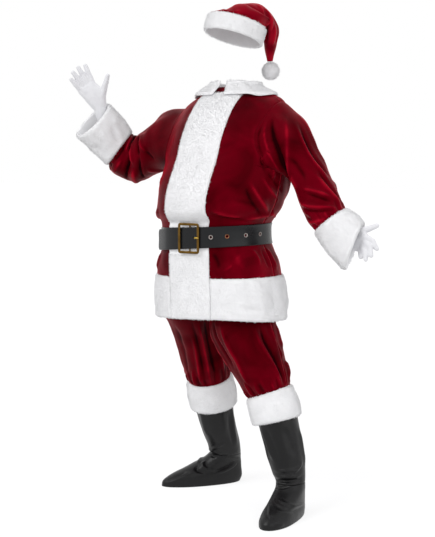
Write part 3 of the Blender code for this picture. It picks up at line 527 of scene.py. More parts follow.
def border_distance(points, closed):
    """How far each point of a grid is from the nearest edge, measured along its rows or columns."""

    def from_ends(grid):
        length = np.linalg.norm(np.diff(grid, axis=0), axis=-1)
        run = np.concatenate((np.zeros((1,) + length.shape[1:]), np.cumsum(length, axis=0)))
        return np.minimum(run, run[-1:] - run)

    rows = from_ends(points)
    if closed:
        return rows
    return np.minimum(rows, from_ends(points.swapaxes(0, 1)).swapaxes(0, 1))


def rolled(distance, wall, roll, edge):
    """A wall's thickness, which curls over to a thin edge in the last few millimetres."""
    part = np.clip(distance / roll, 0.0, 1.0)
    return edge + (wall - edge) * np.sqrt(1.0 - (1.0 - part) ** 2)


def ripples(points, length, height, seed):
    """Soft uneven waves of about that length, for cloth that never lies quite flat."""
    shift = Vector((seed * 3.7, seed * 1.3, seed * 2.1))
    flat = (points / length).reshape(-1, 3)
    return height * np.array([noise.noise(Vector(p) + shift) for p in flat]).reshape(
        points.shape[:-1]
    )


def borders(rows, columns, closed):
    """A grid's edges as loops of (row, column), anticlockwise from outside."""
    bottom = [(0, j) for j in range(columns)]
    top = [(rows - 1, j) for j in reversed(range(columns))]
    if closed:
        return [bottom, top]
    right = [(i, columns - 1) for i in range(1, rows - 1)]
    left = [(i, 0) for i in reversed(range(1, rows - 1))]
    return [bottom + right + top + left]


def wall(name, outer, inner, closed, finish, slot, grows=True, painted_fold_light=0.0):
    """A wall between two grids of points. Its faces that look out are marked "outside", which is
    where a plush's pile grows, but only at the points that say so. Its points also carry the painted
    light of the folds: a painted highlight on their tops and painted shade in their troughs."""
    rows, columns = outer.shape[:2]
    count = rows * columns
    number = np.arange(count).reshape(rows, columns)
    ahead = np.roll(number, -1, axis=1)
    if not closed:
        number, ahead = number[:, :-1], ahead[:, :-1]
    face = np.stack((number[:-1], ahead[:-1], ahead[1:], number[1:]), axis=-1).reshape(-1, 4)
    faces = face.tolist() + (face[:, ::-1] + count).tolist()
    for border in borders(rows, columns, closed):
        ring = [i * columns + j for i, j in border]
        faces += [(b, a, count + a, count + b) for a, b in zip(ring, ring[1:] + ring[:1])]
    points = np.concatenate((outer.reshape(-1, 3), inner.reshape(-1, 3))) - HELD_AT
    mesh = bpy.data.meshes.new(name)
    mesh.from_pydata(points.tolist(), [], faces)
    mesh.shade_smooth()
    mesh.materials.append(finish)
    outside = mesh.attributes.new("outside", "BOOLEAN", "FACE")
    open_air = np.broadcast_to(grows, (rows, columns)).reshape(-1)[face[:, 0]]
    outside.data.foreach_set("value", np.pad(open_air, (0, len(faces) - len(face))))
    painted_light_layer = mesh.attributes.new("painted_fold_light", "FLOAT", "POINT")
    painted_light_layer.data.foreach_set(
        "value", np.pad(np.broadcast_to(painted_fold_light, (rows, columns)).reshape(-1), (0, count))
    )
    made = bpy.data.objects.new(name, mesh)
    bpy.context.scene.collection.objects.link(made)
    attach(made, "root")
    return made


# A cloth: its thickness, how it rolls over to a thin edge, its thickness where it is pinched, how
# far out it lies, its ripples, and its finish.
Cloth = namedtuple("Cloth", "thick roll edge pinched base ripple_length ripple_height finish slot")


def held_flat(z, reach=BELT_HALF, fade=0.020):
    """0 where the belt holds the cloth flat, rising to 1 a little above and below it."""
    return ease((np.abs(z - BELT_Z) - reach) / fade)


def sewn_piece(
    node,
    place,
    angle,
    at,
    cloth,
    folds=(),
    closed=False,
    seed=1,
    keep=0.012,
    free=None,
    nap_and_painted_light=0.0,
):
    """A piece of cloth on a surface, with its folds, in place of its plain solid. keep is how near
    its edges the folds fade out, so that it still meets its neighbours. free is how free it is to
    stand out at each point: at 0 it lies flat and is only its pinched thickness. The last argument
    paints light over a whole velvet piece: a painted highlight where it is positive, and painted
    shade where it is negative."""
    angle, at = np.broadcast_arrays(angle, at)
    base = place(angle, at)
    across = place(angle + TURN_STEP, at) - place(angle - TURN_STEP, at)
    onward = place(angle, at + ALONG_STEP) - place(angle, at - ALONG_STEP)
    outward = unit(np.cross(across, onward)) * np.sign(angle[0, 1] - angle[0, 0])
    distance = border_distance(base, closed)
    lift, painted_fold_light = folded(base, outward, place, folds)
    lift += ripples(base, cloth.ripple_length, cloth.ripple_height, seed)
    free = np.broadcast_to(1.0 if free is None else free, base.shape[:2])
    inside = ease(distance / keep)
    out = cloth.base + lift * free * inside
    base = base + outward * out[..., None]
    thick = cloth.pinched + (cloth.thick - cloth.pinched) * free
    outer = base + outward * rolled(distance, thick, cloth.roll, cloth.edge)[..., None]
    made = wall(
        f"{node}_cloth",
        outer,
        base,
        closed,
        cloth.finish,
        cloth.slot,
        free > 0.8,
        painted_fold_light * free * inside + nap_and_painted_light,
    )
    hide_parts(*(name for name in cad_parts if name.startswith(node)))
    return made


# Crimson velvet: a knitted ground with a short dense pile. It looks dark face on and glows at a
# glancing angle, and where the pile has been brushed over it is lighter in soft patches.
# Its colour also has painted light in it: a painted highlight along the folds' tops, painted shade in their
# troughs, and some whole pieces painted darker and one painted lighter.
velvet, tree, output = new_material("crimson_velvet")
position = add_node(tree, "ShaderNodeTexCoord").outputs["Object"]
nap_and_painted_light = add_node(
    tree, "ShaderNodeTexNoise", {"Vector": position, "Scale": 7.0, "Detail": 3.0, "Distortion": 0.5}
)
painted_fold_light = add_node(tree, "ShaderNodeAttribute", attribute_name="painted_fold_light")
# This adds the nap's soft patches to the painted fold light, which is painted highlight and painted shade.
worn = add_node(
    tree,
    "ShaderNodeMath",
    {0: painted_fold_light.outputs["Fac"], 1: CREST_LIGHT, 2: nap_and_painted_light.outputs["Fac"]},
    operation="MULTIPLY_ADD",
)
# The ramp's dark end is painted shade for the folds' troughs, and its bright end a painted highlight for
# their tops.
shades = ((0.12, "#1c0003"), (0.36, "#480008"), (0.62, "#640010"), (0.95, "#9c0e22"))
shade = add_ramp(tree, worn.outputs[0], *((at, linear(colour)) for at, colour in shades))
pile = add_node(tree, "ShaderNodeTexNoise", {"Vector": position, "Scale": 600.0, "Detail": 2.0})
bump = add_bump(tree, pile.outputs["Fac"], 0.20, 0.0008)
cloth_shader = add_node(
    tree,
    "ShaderNodeBsdfPrincipled",
    {
        "Base Color": shade,
        "Roughness": 0.45,
        "Specular IOR Level": 0.05,
        "Specular Tint": linear("#ff4050"),
        "Sheen Weight": 0.9,
        "Sheen Roughness": 0.28,
        "Sheen Tint": linear("#c8142c"),
        "Normal": bump,
    },
)
tree.links.new(cloth_shader.outputs[0], output.inputs["Surface"])
VELVET_CLOTH = Cloth(VELVET, 0.0005, 0.0019, VELVET, 0.0, 0.055, 0.0028, velvet, "red_velvet")

z = spaced(HEM_BAND_TOP, NECK_Z)
side = armhole_edge(z)[:, None]
front = side * spaced(0.0, FRONT_ROUND)[None, :] / FRONT_ROUND
back = 180.0 - side + 2 * side * spaced(0.0, BACK_ROUND)[None, :] / BACK_ROUND
PANELS = {
    "jacket_front_left": (front, (0.36, 0.72), 0.21),
    "jacket_front_right": (-front[:, ::-1], (0.36, 0.72), 0.21),
    "jacket_back": (back, (0.68, 0.70), 0.40),
}
for seed, (node, (angle, flat, area)) in enumerate(PANELS.items(), 1):
    panel = sewn_piece(
        node,
        on_jacket,
        angle,
        z[:, None],
        VELVET_CLOTH,
        JACKET_FOLDS,
        seed=seed,
        free=held_flat(z)[:, None],
    )


# The sleeves: one velvet tube each, set into the armhole and sewn into its cuff. The left arm
# hangs, and its cloth slides down in crosswise folds. The right is raised, and creases at the elbow.
RING_STEP = 0.0052

# Angle 0 is in front, 90 under the arm, 180 behind and -90 on top. The cuff's seam is at 5.
LEFT_SLEEVE_FOLDS = [
    # The deep crease where the arm lies against the side.
    Fold(-50, 0.20, 82, 1.42, 0, 0.015, -0.014, -0.2),
    Fold(-58, 0.60, 60, 1.66, 0, 0.014, 0.007, 0.0),
    Fold(-40, 0.10, 66, 0.70, 0, 0.008, 0.007, 0.0),
    Fold(-33, 0.06, 58, 0.26, 0, 0.008, -0.005, 0.0),
    # Down the arm from the shoulder.
    Fold(-54, 0.90, -60, 3.60, 20, 0.010, 0.008, 0.4),
    Fold(-66, 0.95, -74, 3.40, 18, 0.012, -0.009, 0.0),
    Fold(-88, 0.60, -100, 3.00, 8, 0.013, 0.006, -0.3),
    Fold(10, 1.30, 12, 2.90, -6, 0.016, -0.006, 0.0),
    Fold(36, 1.70, 44, 2.70, 4, 0.013, 0.006, 0.0),
    Fold(150, 0.70, 178, 3.00, 8, 0.015, 0.008, 0.3),
    Fold(118, 1.10, 138, 3.10, 0, 0.012, 0.007, 0.0),
    # Across the forearm.
    Fold(36, 2.80, -40, 4.24, 0, 0.009, 0.008, -0.4),
    Fold(30, 3.20, -34, 4.42, 0, 0.007, -0.007, 0.0),
    Fold(-22, 2.85, -66, 4.78, 4, 0.010, 0.007, -0.4),
    Fold(-34, 2.75, -72, 4.50, 4, 0.008, -0.006, 0.0),
    Fold(68, 3.10, -48, 4.84, 14, 0.009, 0.008, -0.4),
    Fold(62, 3.56, -30, 4.84, 14, 0.006, -0.007, 0.0),
    Fold(84, 4.30, 6, 4.96, 4, 0.008, 0.006, 0.0),
    Fold(94, 3.70, 46, 4.60, 4, 0.009, -0.006, 0.0),
    Fold(-96, 3.30, -140, 4.20, 6, 0.011, 0.007, 0.3),
    Fold(-110, 4.00, -165, 4.60, 5, 0.009, 0.007, 0.0),
    Fold(172, 3.40, 120, 4.30, 5, 0.011, 0.008, -0.3),
    Fold(150, 4.50, 106, 3.70, 0, 0.009, -0.006, 0.0),
    Fold(200, 4.60, 232, 3.90, 0, 0.009, -0.006, 0.0),
]
RIGHT_SLEEVE_FOLDS = [
    # The two deep creases in front of the elbow, and the bulge between them.
    Fold(-84, 3.75, -2, 2.74, 6, 0.010, -0.016, 0.3),
    Fold(-8, 2.72, 80, 3.04, -4, 0.009, -0.016, 0.3),
    Fold(-44, 2.45, 22, 1.58, 4, 0.008, -0.014, -0.3),
    Fold(16, 1.56, 84, 1.62, 4, 0.008, -0.013, -0.3),
    Fold(-50, 3.05, 30, 2.25, 6, 0.013, 0.009, 0.0),
    Fold(34, 2.20, 100, 2.35, 0, 0.016, 0.010, 0.0),
    Fold(-70, 4.30, -4, 3.30, 5, 0.012, 0.008, 0.3),
    Fold(10, 3.55, 78, 3.90, -4, 0.012, 0.007, -0.3),
    Fold(-40, 4.60, 40, 4.30, -5, 0.009, -0.006, 0.0),
    # Towards the shoulder.
    Fold(-28, 2.05, 26, 0.80, 5, 0.008, 0.007, -0.4),
    Fold(4, 1.25, 44, 0.55, 4, 0.010, -0.006, 0.0),
    Fold(-58, 0.30, -62, 2.90, 0, 0.055, -0.020, 0.0),
    Fold(-30, 3.20, 60, 2.30, 0, 0.034, -0.005, 0.0),
    Fold(-40, 1.90, 40, 0.90, 0, 0.034, -0.003, 0.0),
    Fold(58, 1.20, 88, 0.40, 0, 0.011, 0.007, 0.0),
    # Behind and on top.
    Fold(-104, 2.90, -160, 2.10, 6, 0.010, -0.011, 0.3),
    Fold(-112, 3.50, -170, 3.10, 4, 0.011, 0.009, 0.0),
    Fold(-120, 1.80, -172, 1.00, 5, 0.014, 0.009, 0.3),
    Fold(158, 2.80, 104, 2.95, 4, 0.009, -0.010, 0.0),
    Fold(166, 1.60, 112, 1.50, 4, 0.012, 0.009, 0.0),
    Fold(178, 3.90, 116, 3.60, 4, 0.011, 0.008, 0.0),
]


def gathers(seam, length, count, depth, seed):
    """Short uneven folds that run out from a seam, all round it, where the cloth is drawn in."""
    draw = np.random.default_rng(seed)
    rows = []
    for number in range(count):
        angle = -180.0 + (number + draw.uniform(0.2, 0.8)) * 360.0 / count
        reach = length * draw.uniform(0.35, 1.0)
        lean = draw.uniform(-4.0, 4.0)
        out = depth * draw.uniform(0.35, 1.0) * (1 if number % 2 else -1)
        width = draw.uniform(0.005, 0.009)
        rows.append(Fold(angle, seam - length * 0.05, angle + lean, seam + reach, 0, width, out, 0))
    return rows


def ring_of(place, at, way=1, step=RING_STEP):
    """Angles round a tube, about a step apart where it is at that place along it."""
    turn = np.linspace(-180.0, 180.0, 73)
    length = np.linalg.norm(np.diff(place(turn, np.full(73, at)), axis=0), axis=1).sum()
    count = round(length / step)
    return (-180.0 + np.arange(count) * 360.0 / count)[None, ::way]


def rows_of(place, start, end, step=RING_STEP):
    """Places along a tube, evenly spaced, about that far apart where it is longest."""
    turn = np.arange(-180.0, 180.0, 45.0)
    at = np.linspace(start, end, 41)
    path = place(turn[None, :], at[:, None])
    length = np.linalg.norm(np.diff(path, axis=0), axis=2).sum(axis=0).max()
    return np.linspace(start, end, round(length / step) + 1)[:, None]


SLEEVES = {
    "left": (partial(sleeve_place, "left"), 1, LEFT_SLEEVE_FOLDS),
    "right": (partial(sleeve_place, "right"), -1, RIGHT_SLEEVE_FOLDS),
}
CUFF_SEAM = len(LEFT_SLEEVE)
CUFF_END = CUFF_SEAM + len(LEFT_CUFF)
for side, (place, way, folds) in SLEEVES.items():
    folds = folds + gathers(CUFF_SEAM, -0.9, 22, 0.0045, seed=len(side))
    sleeve = sewn_piece(
        f"sleeve_{side}",
        place,
        ring_of(place, 1.0, way),
        rows_of(place, 0.0, CUFF_SEAM),
        VELVET_CLOTH,
        folds,
        closed=True,
        seed=len(side),
        # The raised right sleeve is painted darker all over: painted shade.
        nap_and_painted_light=0.0 if side == "left" else -0.22,
    )


# The jacket's white trim: plush, which is a knitted fabric with a deep soft pile. A wide band covers
# the front opening, a deep one the hem, and the collar and cuffs are turned and stuffed with a roll.
PILE_DENSITY = 90000.0
PILE_LENGTH = 0.0052
PILE_RADIUS = 0.0016
PILE_LEAN = 58.0
PILE_SOFT = 1.4
BUCKLE_TALL = 0.106
HEM_RISE = 0.015
HEM_RISE_AT = 24.0
COLLAR_LOW = 1.460
COLLAR_TOP = 1.520
COLLAR_LIFT = 0.006
COLLAR_OVER_BAND = 0.010
COLLAR_OPENS = 7.0

# White plush: acrylic pile on a knitted ground. The pile scatters light, so it has no gloss at all,
# only a pale rim. Soft random patches of it are painted faint grey: painted shade for the hollows
# where the tufts part. The tufts lie over one another and take the light as one soft surface, so
# their shading leans towards the skin that they stand on.
def plush_of(name, skin_normal):
    made, tree, output = new_material(name)
    position = add_node(tree, "ShaderNodeTexCoord").outputs["Object"]
    hollows = add_node(
        tree, "ShaderNodeTexNoise", {"Vector": position, "Scale": 26.0, "Detail": 4.0, "Roughness": 0.6}
    )
    # The grey end of this ramp is painted shade.
    white = (0.30, linear("#e9e9eb")), (0.65, linear("#f0f0f2"))
    shade = add_ramp(tree, hollows.outputs["Fac"], *white)
    if skin_normal:
        skin = add_node(tree, "ShaderNodeAttribute", attribute_name="skin_normal")
        own = add_node(tree, "ShaderNodeNewGeometry")
        leaning = add_node(
            tree,
            "ShaderNodeVectorMath",
            {0: skin.outputs["Vector"], 1: (PILE_SOFT,) * 3, 2: own.outputs["Normal"]},
            operation="MULTIPLY_ADD",
        )
        turned = add_node(tree, "ShaderNodeVectorMath", {0: leaning.outputs[0]}, operation="NORMALIZE")
        normal = turned.outputs[0]
    else:
        tufts = add_node(tree, "ShaderNodeTexNoise", {"Vector": position, "Scale": 160.0})
        normal = add_bump(tree, tufts.outputs["Fac"], 0.15, 0.002)
    shader = add_node(
        tree,
        "ShaderNodeBsdfPrincipled",
        {
            "Base Color": shade,
            "Roughness": 0.95,
            "Specular IOR Level": 0.10,
            "Sheen Weight": 0.25,
            "Sheen Roughness": 0.60,
            "Normal": normal,
        },
    )
    tree.links.new(shader.outputs[0], output.inputs["Surface"])
    return made


plush = plush_of("white_acrylic_plush", False)
plush_tufts = plush_of("white_acrylic_tufts", True)
PLUSH_CLOTH = Cloth(0.0062, 0.009, 0.0015, 0.0036, 0.0, 0.045, 0.0020, plush, "white_plush")


def pile_nodes():
    """A Geometry Nodes tree that stands a tapered tuft on each of many random points of a skin."""
    tree = bpy.data.node_groups.new("plush_pile", "GeometryNodeTree")
    tree.interface.new_socket("Geometry", in_out="OUTPUT", socket_type="NodeSocketGeometry")
    tree.interface.new_socket("Geometry", in_out="INPUT", socket_type="NodeSocketGeometry")
    names = {
        "Density": "NodeSocketFloat",
        "Length": "NodeSocketFloat",
        "Radius": "NodeSocketFloat",
        "Lean": "NodeSocketFloat",
        "Seed": "NodeSocketInt",
        "Material": "NodeSocketMaterial",
    }
    for name, kind in names.items():
        tree.interface.new_socket(name, in_out="INPUT", socket_type=kind)
    given = tree.nodes.new("NodeGroupInput").outputs
    outside = add_node(tree, "GeometryNodeInputNamedAttribute", {"Name": "outside"}, data_type="BOOLEAN")
    roots = add_node(
        tree,
        "GeometryNodeDistributePointsOnFaces",
        {
            "Mesh": given["Geometry"],
            "Selection": next(s for s in outside.outputs if s.enabled and s.name == "Attribute"),
            "Density": given["Density"],
            "Seed": given["Seed"],
        },
    )
    marked = add_node(
        tree,
        "GeometryNodeStoreNamedAttribute",
        {"Geometry": roots.outputs["Points"], "Name": "skin_normal"},
        data_type="FLOAT_VECTOR",
        domain="POINT",
    )
    tree.links.new(
        roots.outputs["Normal"], next(s for s in marked.inputs if s.enabled and s.name == "Value")
    )
    tuft = add_node(
        tree,
        "GeometryNodeMeshCone",
        {
            "Vertices": 3,
            "Radius Top": 0.0,
            "Radius Bottom": given["Radius"],
            "Depth": given["Length"],
        },
        fill_type="NGON",
    )
    back = add_node(tree, "ShaderNodeMath", {0: given["Lean"], 1: -1.0}, operation="MULTIPLY")
    lean = []
    for number, spin in enumerate((True, True, False)):
        draw = add_node(tree, "FunctionNodeRandomValue", {"Seed": number}, data_type="FLOAT")
        inputs = [s for s in draw.inputs if s.enabled and s.name in ("Min", "Max")]
        if spin:
            tree.links.new(back.outputs[0], inputs[0])
            tree.links.new(given["Lean"], inputs[1])
        else:
            inputs[0].default_value, inputs[1].default_value = 0.0, math.tau
        lean.append(next(s for s in draw.outputs if s.enabled))
    turn = add_node(tree, "ShaderNodeCombineXYZ", {"X": lean[0], "Y": lean[1], "Z": lean[2]})
    spun = add_node(
        tree,
        "FunctionNodeRotateRotation",
        {"Rotation": roots.outputs["Rotation"], "Rotate By": turn.outputs[0]},
        rotation_space="LOCAL",
    )
    size = add_node(tree, "FunctionNodeRandomValue", {"Seed": 7}, data_type="FLOAT")
    limits = [s for s in size.inputs if s.enabled and s.name in ("Min", "Max")]
    limits[0].default_value, limits[1].default_value = 0.65, 1.25
    planted = add_node(
        tree,
        "GeometryNodeInstanceOnPoints",
        {
            "Points": marked.outputs[0],
            "Instance": tuft.outputs["Mesh"],
            "Rotation": spun.outputs[0],
            "Scale": next(s for s in size.outputs if s.enabled),
        },
    )
    joined = add_node(tree, "GeometryNodeRealizeInstances", {"Geometry": planted.outputs[0]})
    rounded = add_node(tree, "GeometryNodeSetShadeSmooth", {"Geometry": joined.outputs[0]})
    coloured = add_node(
        tree,
        "GeometryNodeSetMaterial",
        {"Geometry": rounded.outputs[0], "Material": given["Material"]},
    )
    output = tree.nodes.new("NodeGroupOutput")
    tree.links.new(coloured.outputs[0], output.inputs[0])
    return tree


PILE = pile_nodes()


def grow_pile(skin, seed, density=PILE_DENSITY, length=PILE_LENGTH):
    """The skin's pile, as a plain mesh of its own."""
    planter = bpy.data.objects.new("planter", skin.data)
    bpy.context.scene.collection.objects.link(planter)
    modifier = planter.modifiers.new("pile", "NODES")
    modifier.node_group = PILE
    chosen = {
        "Density": density,
        "Length": length,
        "Radius": PILE_RADIUS,
        "Lean": math.radians(PILE_LEAN),
        "Seed": seed,
        "Material": plush_tufts,
    }
    for socket in PILE.interface.items_tree:
        if socket.name in chosen:
            modifier[socket.identifier] = chosen[socket.name]
    grown = planter.evaluated_get(bpy.context.evaluated_depsgraph_get())
    mesh = bpy.data.meshes.new_from_object(grown)
    bpy.data.objects.remove(planter)
    pile = bpy.data.objects.new(skin.name.replace("cloth", "pile"), mesh)
    bpy.context.scene.collection.objects.link(pile)
    # White pile passes most of its light on from tuft to tuft, so the tufts hardly shade the cloth.
    pile.visible_shadow = False
    pile.visible_diffuse = False
    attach(pile, "root")
    return pile


def plush_piece(node, place, angle, at, flat, area, seed, cloth=PLUSH_CLOTH, **form):
    """A plush piece: its skin with its pile on it."""
    skin = sewn_piece(node, place, angle, at, cloth, seed=seed, **form)
    grow_pile(skin, seed)
    return skin


hem_z = spaced(HEM_Z, HEM_BAND_TOP)[:, None]
from_band = band_edge(hem_z)
round_hem = from_band + (360.0 - 2.0 * from_band) * np.linspace(0.0, 1.0, 250)[None, :]


def risen(angle, z):
    """Heights with the hem's lower edge drawn up a little in front."""
    front = np.exp(-(((angle + 180.0) % 360.0 - 180.0 - HEM_RISE_AT) / 48.0) ** 2)
    return z + HEM_RISE * front * np.clip((HEM_BAND_TOP - z) / (HEM_BAND_TOP - HEM_Z), 0.0, 1.0)


HEM_FOLDS = [
    Fold(62, 0.835, 68, 0.690, 3, 0.022, 0.006, 0.0),
    Fold(84, 0.835, 88, 0.700, -2, 0.016, -0.005, 0.0),
    Fold(40, 0.740, 72, 0.722, 2, 0.009, -0.0035, 0.0),
    Fold(58, 0.800, 74, 0.792, 2, 0.007, -0.003, 0.0),
    Fold(-48, 0.835, -56, 0.700, 3, 0.020, 0.006, 0.0),
    Fold(-80, 0.835, -86, 0.700, 0, 0.016, 0.006, 0.0),
    Fold(-120, 0.835, -124, 0.690, 0, 0.022, 0.007, 0.0),
    Fold(-150, 0.835, -158, 0.700, 3, 0.017, -0.006, 0.0),
    Fold(112, 0.835, 118, 0.700, 0, 0.021, 0.007, 0.0),
    Fold(146, 0.835, 150, 0.690, 3, 0.018, 0.006, 0.0),
    Fold(176, 0.835, 172, 0.700, 0, 0.020, -0.006, 0.0),
]
plush_piece(
    "hem_band",
    on_body,
    round_hem,
    risen(round_hem, hem_z),
    flat=(1.18, 0.155),
    area=0.183,
    seed=11,
    folds=HEM_FOLDS,
)

over_velvet = PLUSH_CLOTH._replace(base=VELVET + SEAM_GAP, ripple_height=0.0010)
band_z = spaced(HEM_Z, NECK_Z - 0.022)[:, None]
across_band = band_edge(band_z) * np.linspace(-1.0, 1.0, 33)[None, :]
plush_piece(
    "front_band",
    on_body,
    across_band,
    risen(across_band, band_z),
    flat=(0.168, 0.86),
    area=0.142,
    seed=12,
    cloth=over_velvet,
    folds=JACKET_FOLDS,
    free=held_flat(band_z, BUCKLE_TALL / 2 - 0.004, 0.012),
)


def on_collar(angle, z):
    """The collar turns down over the yoke and over the top of the front band."""
    points = puffed(on_body(angle, z))
    across = on_body(angle + TURN_STEP, z) - on_body(angle - TURN_STEP, z)
    onward = on_body(angle, z + ALONG_STEP) - on_body(angle, z - ALONG_STEP)
    from_front = np.abs((angle + 180.0) % 360.0 - 180.0)
    lift = COLLAR_LIFT + COLLAR_OVER_BAND * ease((60.0 - from_front) / 20.0)
    return points + unit(np.cross(across, onward)) * np.asarray(lift)[..., None]


collar_z = spaced(COLLAR_LOW, COLLAR_TOP, 0.004)[:, None]
plush_piece(
    "collar",
    on_collar,
    np.linspace(COLLAR_OPENS, 360.0 - COLLAR_OPENS, 150)[None, :],
    collar_z,
    flat=(0.62, 0.10),
    area=0.062,
    seed=13,
)

TURNED_PLUSH = PLUSH_CLOTH._replace(thick=0.0095, roll=0.013, edge=0.0025, ripple_height=0.0032)
CUFF_FOLDS = {
    "left": [
        Fold(40, 5.20, 62, 6.60, 4, 0.016, 0.004, 0.0),
        Fold(-30, 5.20, -24, 6.70, 0, 0.018, -0.004, 0.0),
        Fold(150, 5.20, 160, 6.70, 0, 0.018, 0.005, 0.0),
    ],
    "right": [
        Fold(-30, 5.15, -48, 6.60, 4, 0.012, 0.005, 0.0),
        Fold(-14, 5.15, -24, 6.30, 3, 0.009, -0.005, 0.0),
        Fold(8, 5.40, 2, 6.60, 3, 0.016, 0.004, 0.0),
        Fold(40, 5.15, 52, 6.40, 0, 0.014, -0.004, 0.0),
        Fold(150, 5.15, 160, 6.70, 0, 0.018, 0.005, 0.0),
    ],
}
for side, (place, way, folds) in SLEEVES.items():
    plush_piece(
        f"cuff_{side}",
        place,
        ring_of(place, CUFF_END, way),
        rows_of(place, CUFF_SEAM, CUFF_END),
        flat=(0.48, 0.13),
        area=0.060,
        seed=14 + way,
        cloth=TURNED_PLUSH,
        folds=CUFF_FOLDS[side],
        closed=True,
    )


# The belt: a strap of black leather, 75 mm wide and 3 mm thick. It runs from the buckle round the
# back, under the frame and on past it to a rounded tip, with a row of metal eyelets.
LEATHER = 0.003
PINCHED_PLUSH = 0.0045
BELT_SLACK = 0.0022
TIP_ANGLE = 49.5
TIP_ROUND = 0.020
TIP_SAG = 0.006
TIP_CLEAR = np.array((-0.002, -0.014))
TIP_METRES_A_DEGREE = 0.0036
EYELET_ANGLES = (10.0, 26.5, 43.5, 65.5, 86.0)
EYELET_HOLE = 0.0048
EYELET_RIM = 0.0078
EYELET_PROUD = 0.0002

# Black leather: drum-dyed split hide with a printed grain about a millimetre across and a soft wax
# finish, so it has a broad satin light that breaks up a little.
leather, tree, output = new_material("black_waxed_leather")
position = add_node(tree, "ShaderNodeTexCoord").outputs["Object"]
grain = add_node(
    tree, "ShaderNodeTexVoronoi", {"Vector": position, "Scale": 700.0}, feature="DISTANCE_TO_EDGE"
)
handled = add_node(tree, "ShaderNodeTexNoise", {"Vector": position, "Scale": 14.0, "Detail": 3.0})
shine = add_node(
    tree,
    "ShaderNodeMapRange",
    {"Value": handled.outputs["Fac"], "To Min": 0.22, "To Max": 0.34},
)
shade = add_ramp(tree, handled.outputs["Fac"], (0.0, linear("#0a0b0d")), (1.0, linear("#121417")))
bump = add_bump(tree, grain.outputs[0], 0.20, 0.0004)
hide = add_node(
    tree,
    "ShaderNodeBsdfPrincipled",
    {
        "Base Color": shade,
        "Roughness": shine.outputs["Result"],
        "IOR": 1.42,
        "Specular IOR Level": 0.38,
        "Normal": bump,
    },
)
tree.links.new(hide.outputs[0], output.inputs["Surface"])


def belt_lift(along):
    """How far the strap's inner face lies out from the body, by the degrees from its fixed end."""
    from_front = np.abs((along + 180.0) % 360.0 - 180.0)
    over_band = (PINCHED_PLUSH + SEAM_GAP + BELT_SLACK) * ease((46.0 - from_front) / 24.0)
    on_itself = (LEATHER + SEAM_GAP) * ease((along - 282.0) / 30.0)
    return VELVET + SEAM_GAP + over_band + on_itself


def on_belt(angle, z):
    """The strap's path, which sags a little where its free end has passed the buckle."""
    points = on_body(angle, z)
    points[..., 2] -= TIP_SAG * ease((-angle - 345.0) / 60.0)
    points[..., :2] += ease((-angle - 386.0) / 34.0)[..., None] * TIP_CLEAR
    return points


def strap_place(angle):
    """A point on the free strap's outer face and the direction out of it."""
    here, ahead, above = on_body(
        np.array((angle, angle + 1.0, angle)), np.array((BELT_Z, BELT_Z, BELT_Z + 0.01))
    )
    outward = unit(np.cross(ahead - here, above - here))
    return here + outward * (belt_lift(360.0 - angle) + LEATHER), outward


def plain_object(name, mesh, finish):
    """A finished mesh as an object that rides on the suit."""
    mesh.materials.clear()
    mesh.materials.append(finish)
    mesh.shade_smooth()
    made = bpy.data.objects.new(name, mesh)
    bpy.context.scene.collection.objects.link(made)
    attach(made, "root")
    return made


def drilled(obj, places, radius, depth):
    """Cuts round holes through an object, one at each (point, direction)."""
    shape = bmesh.new()
    for at, outward in places:
        turn = Vector((0.0, 0.0, 1.0)).rotation_difference(Vector(outward)).to_matrix()
        matrix = Matrix.Translation(Vector(at - HELD_AT)) @ turn.to_4x4()
        bmesh.ops.create_cone(
            shape, cap_ends=True, segments=28, radius1=radius, radius2=radius, depth=depth, matrix=matrix
        )
    mesh = bpy.data.meshes.new("drill")
    shape.to_mesh(mesh)
    shape.free()
    drill = bpy.data.objects.new("drill", mesh)
    bpy.context.scene.collection.objects.link(drill)
    cut = obj.modifiers.new("holes", "BOOLEAN")
    cut.object = drill
    result = bpy.data.meshes.new_from_object(obj.evaluated_get(bpy.context.evaluated_depsgraph_get()))
    obj.modifiers.clear()
    obj.data = result
    bpy.data.objects.remove(drill)


def lathe(profile, at, axis, count):
    """A ring turned about an axis from (radius, height) points, as points and faces."""
    axis = unit(np.array(axis))
    aside = unit(np.cross(axis, (0.0, 0.0, 1.0)))
    upward = np.cross(axis, aside)
    turns = np.radians(np.arange(count) * 360.0 / count)[:, None]
    outward = aside * np.cos(turns) + upward * np.sin(turns)
    radius, height = np.array(profile).T
    points = at + outward[:, None, :] * radius[:, None] + axis * height[:, None]
    steps = len(profile)
    faces = [
        (
            i * steps + j,
            (i + 1) % count * steps + j,
            (i + 1) % count * steps + (j + 1) % steps,
            i * steps + (j + 1) % steps,
        )
        for i in range(count)
        for j in range(steps)
    ]
    return points.reshape(-1, 3), faces


def mesh_of(name, points, faces):
    """A mesh from the suit's own coordinates, with its faces turned out."""
    mesh = bpy.data.meshes.new(name)
    mesh.from_pydata((points - HELD_AT).tolist(), [], faces)
    shape = bmesh.new()
    shape.from_mesh(mesh)
    bmesh.ops.recalc_face_normals(shape, faces=shape.faces)
    shape.to_mesh(mesh)
    shape.free()
    return mesh


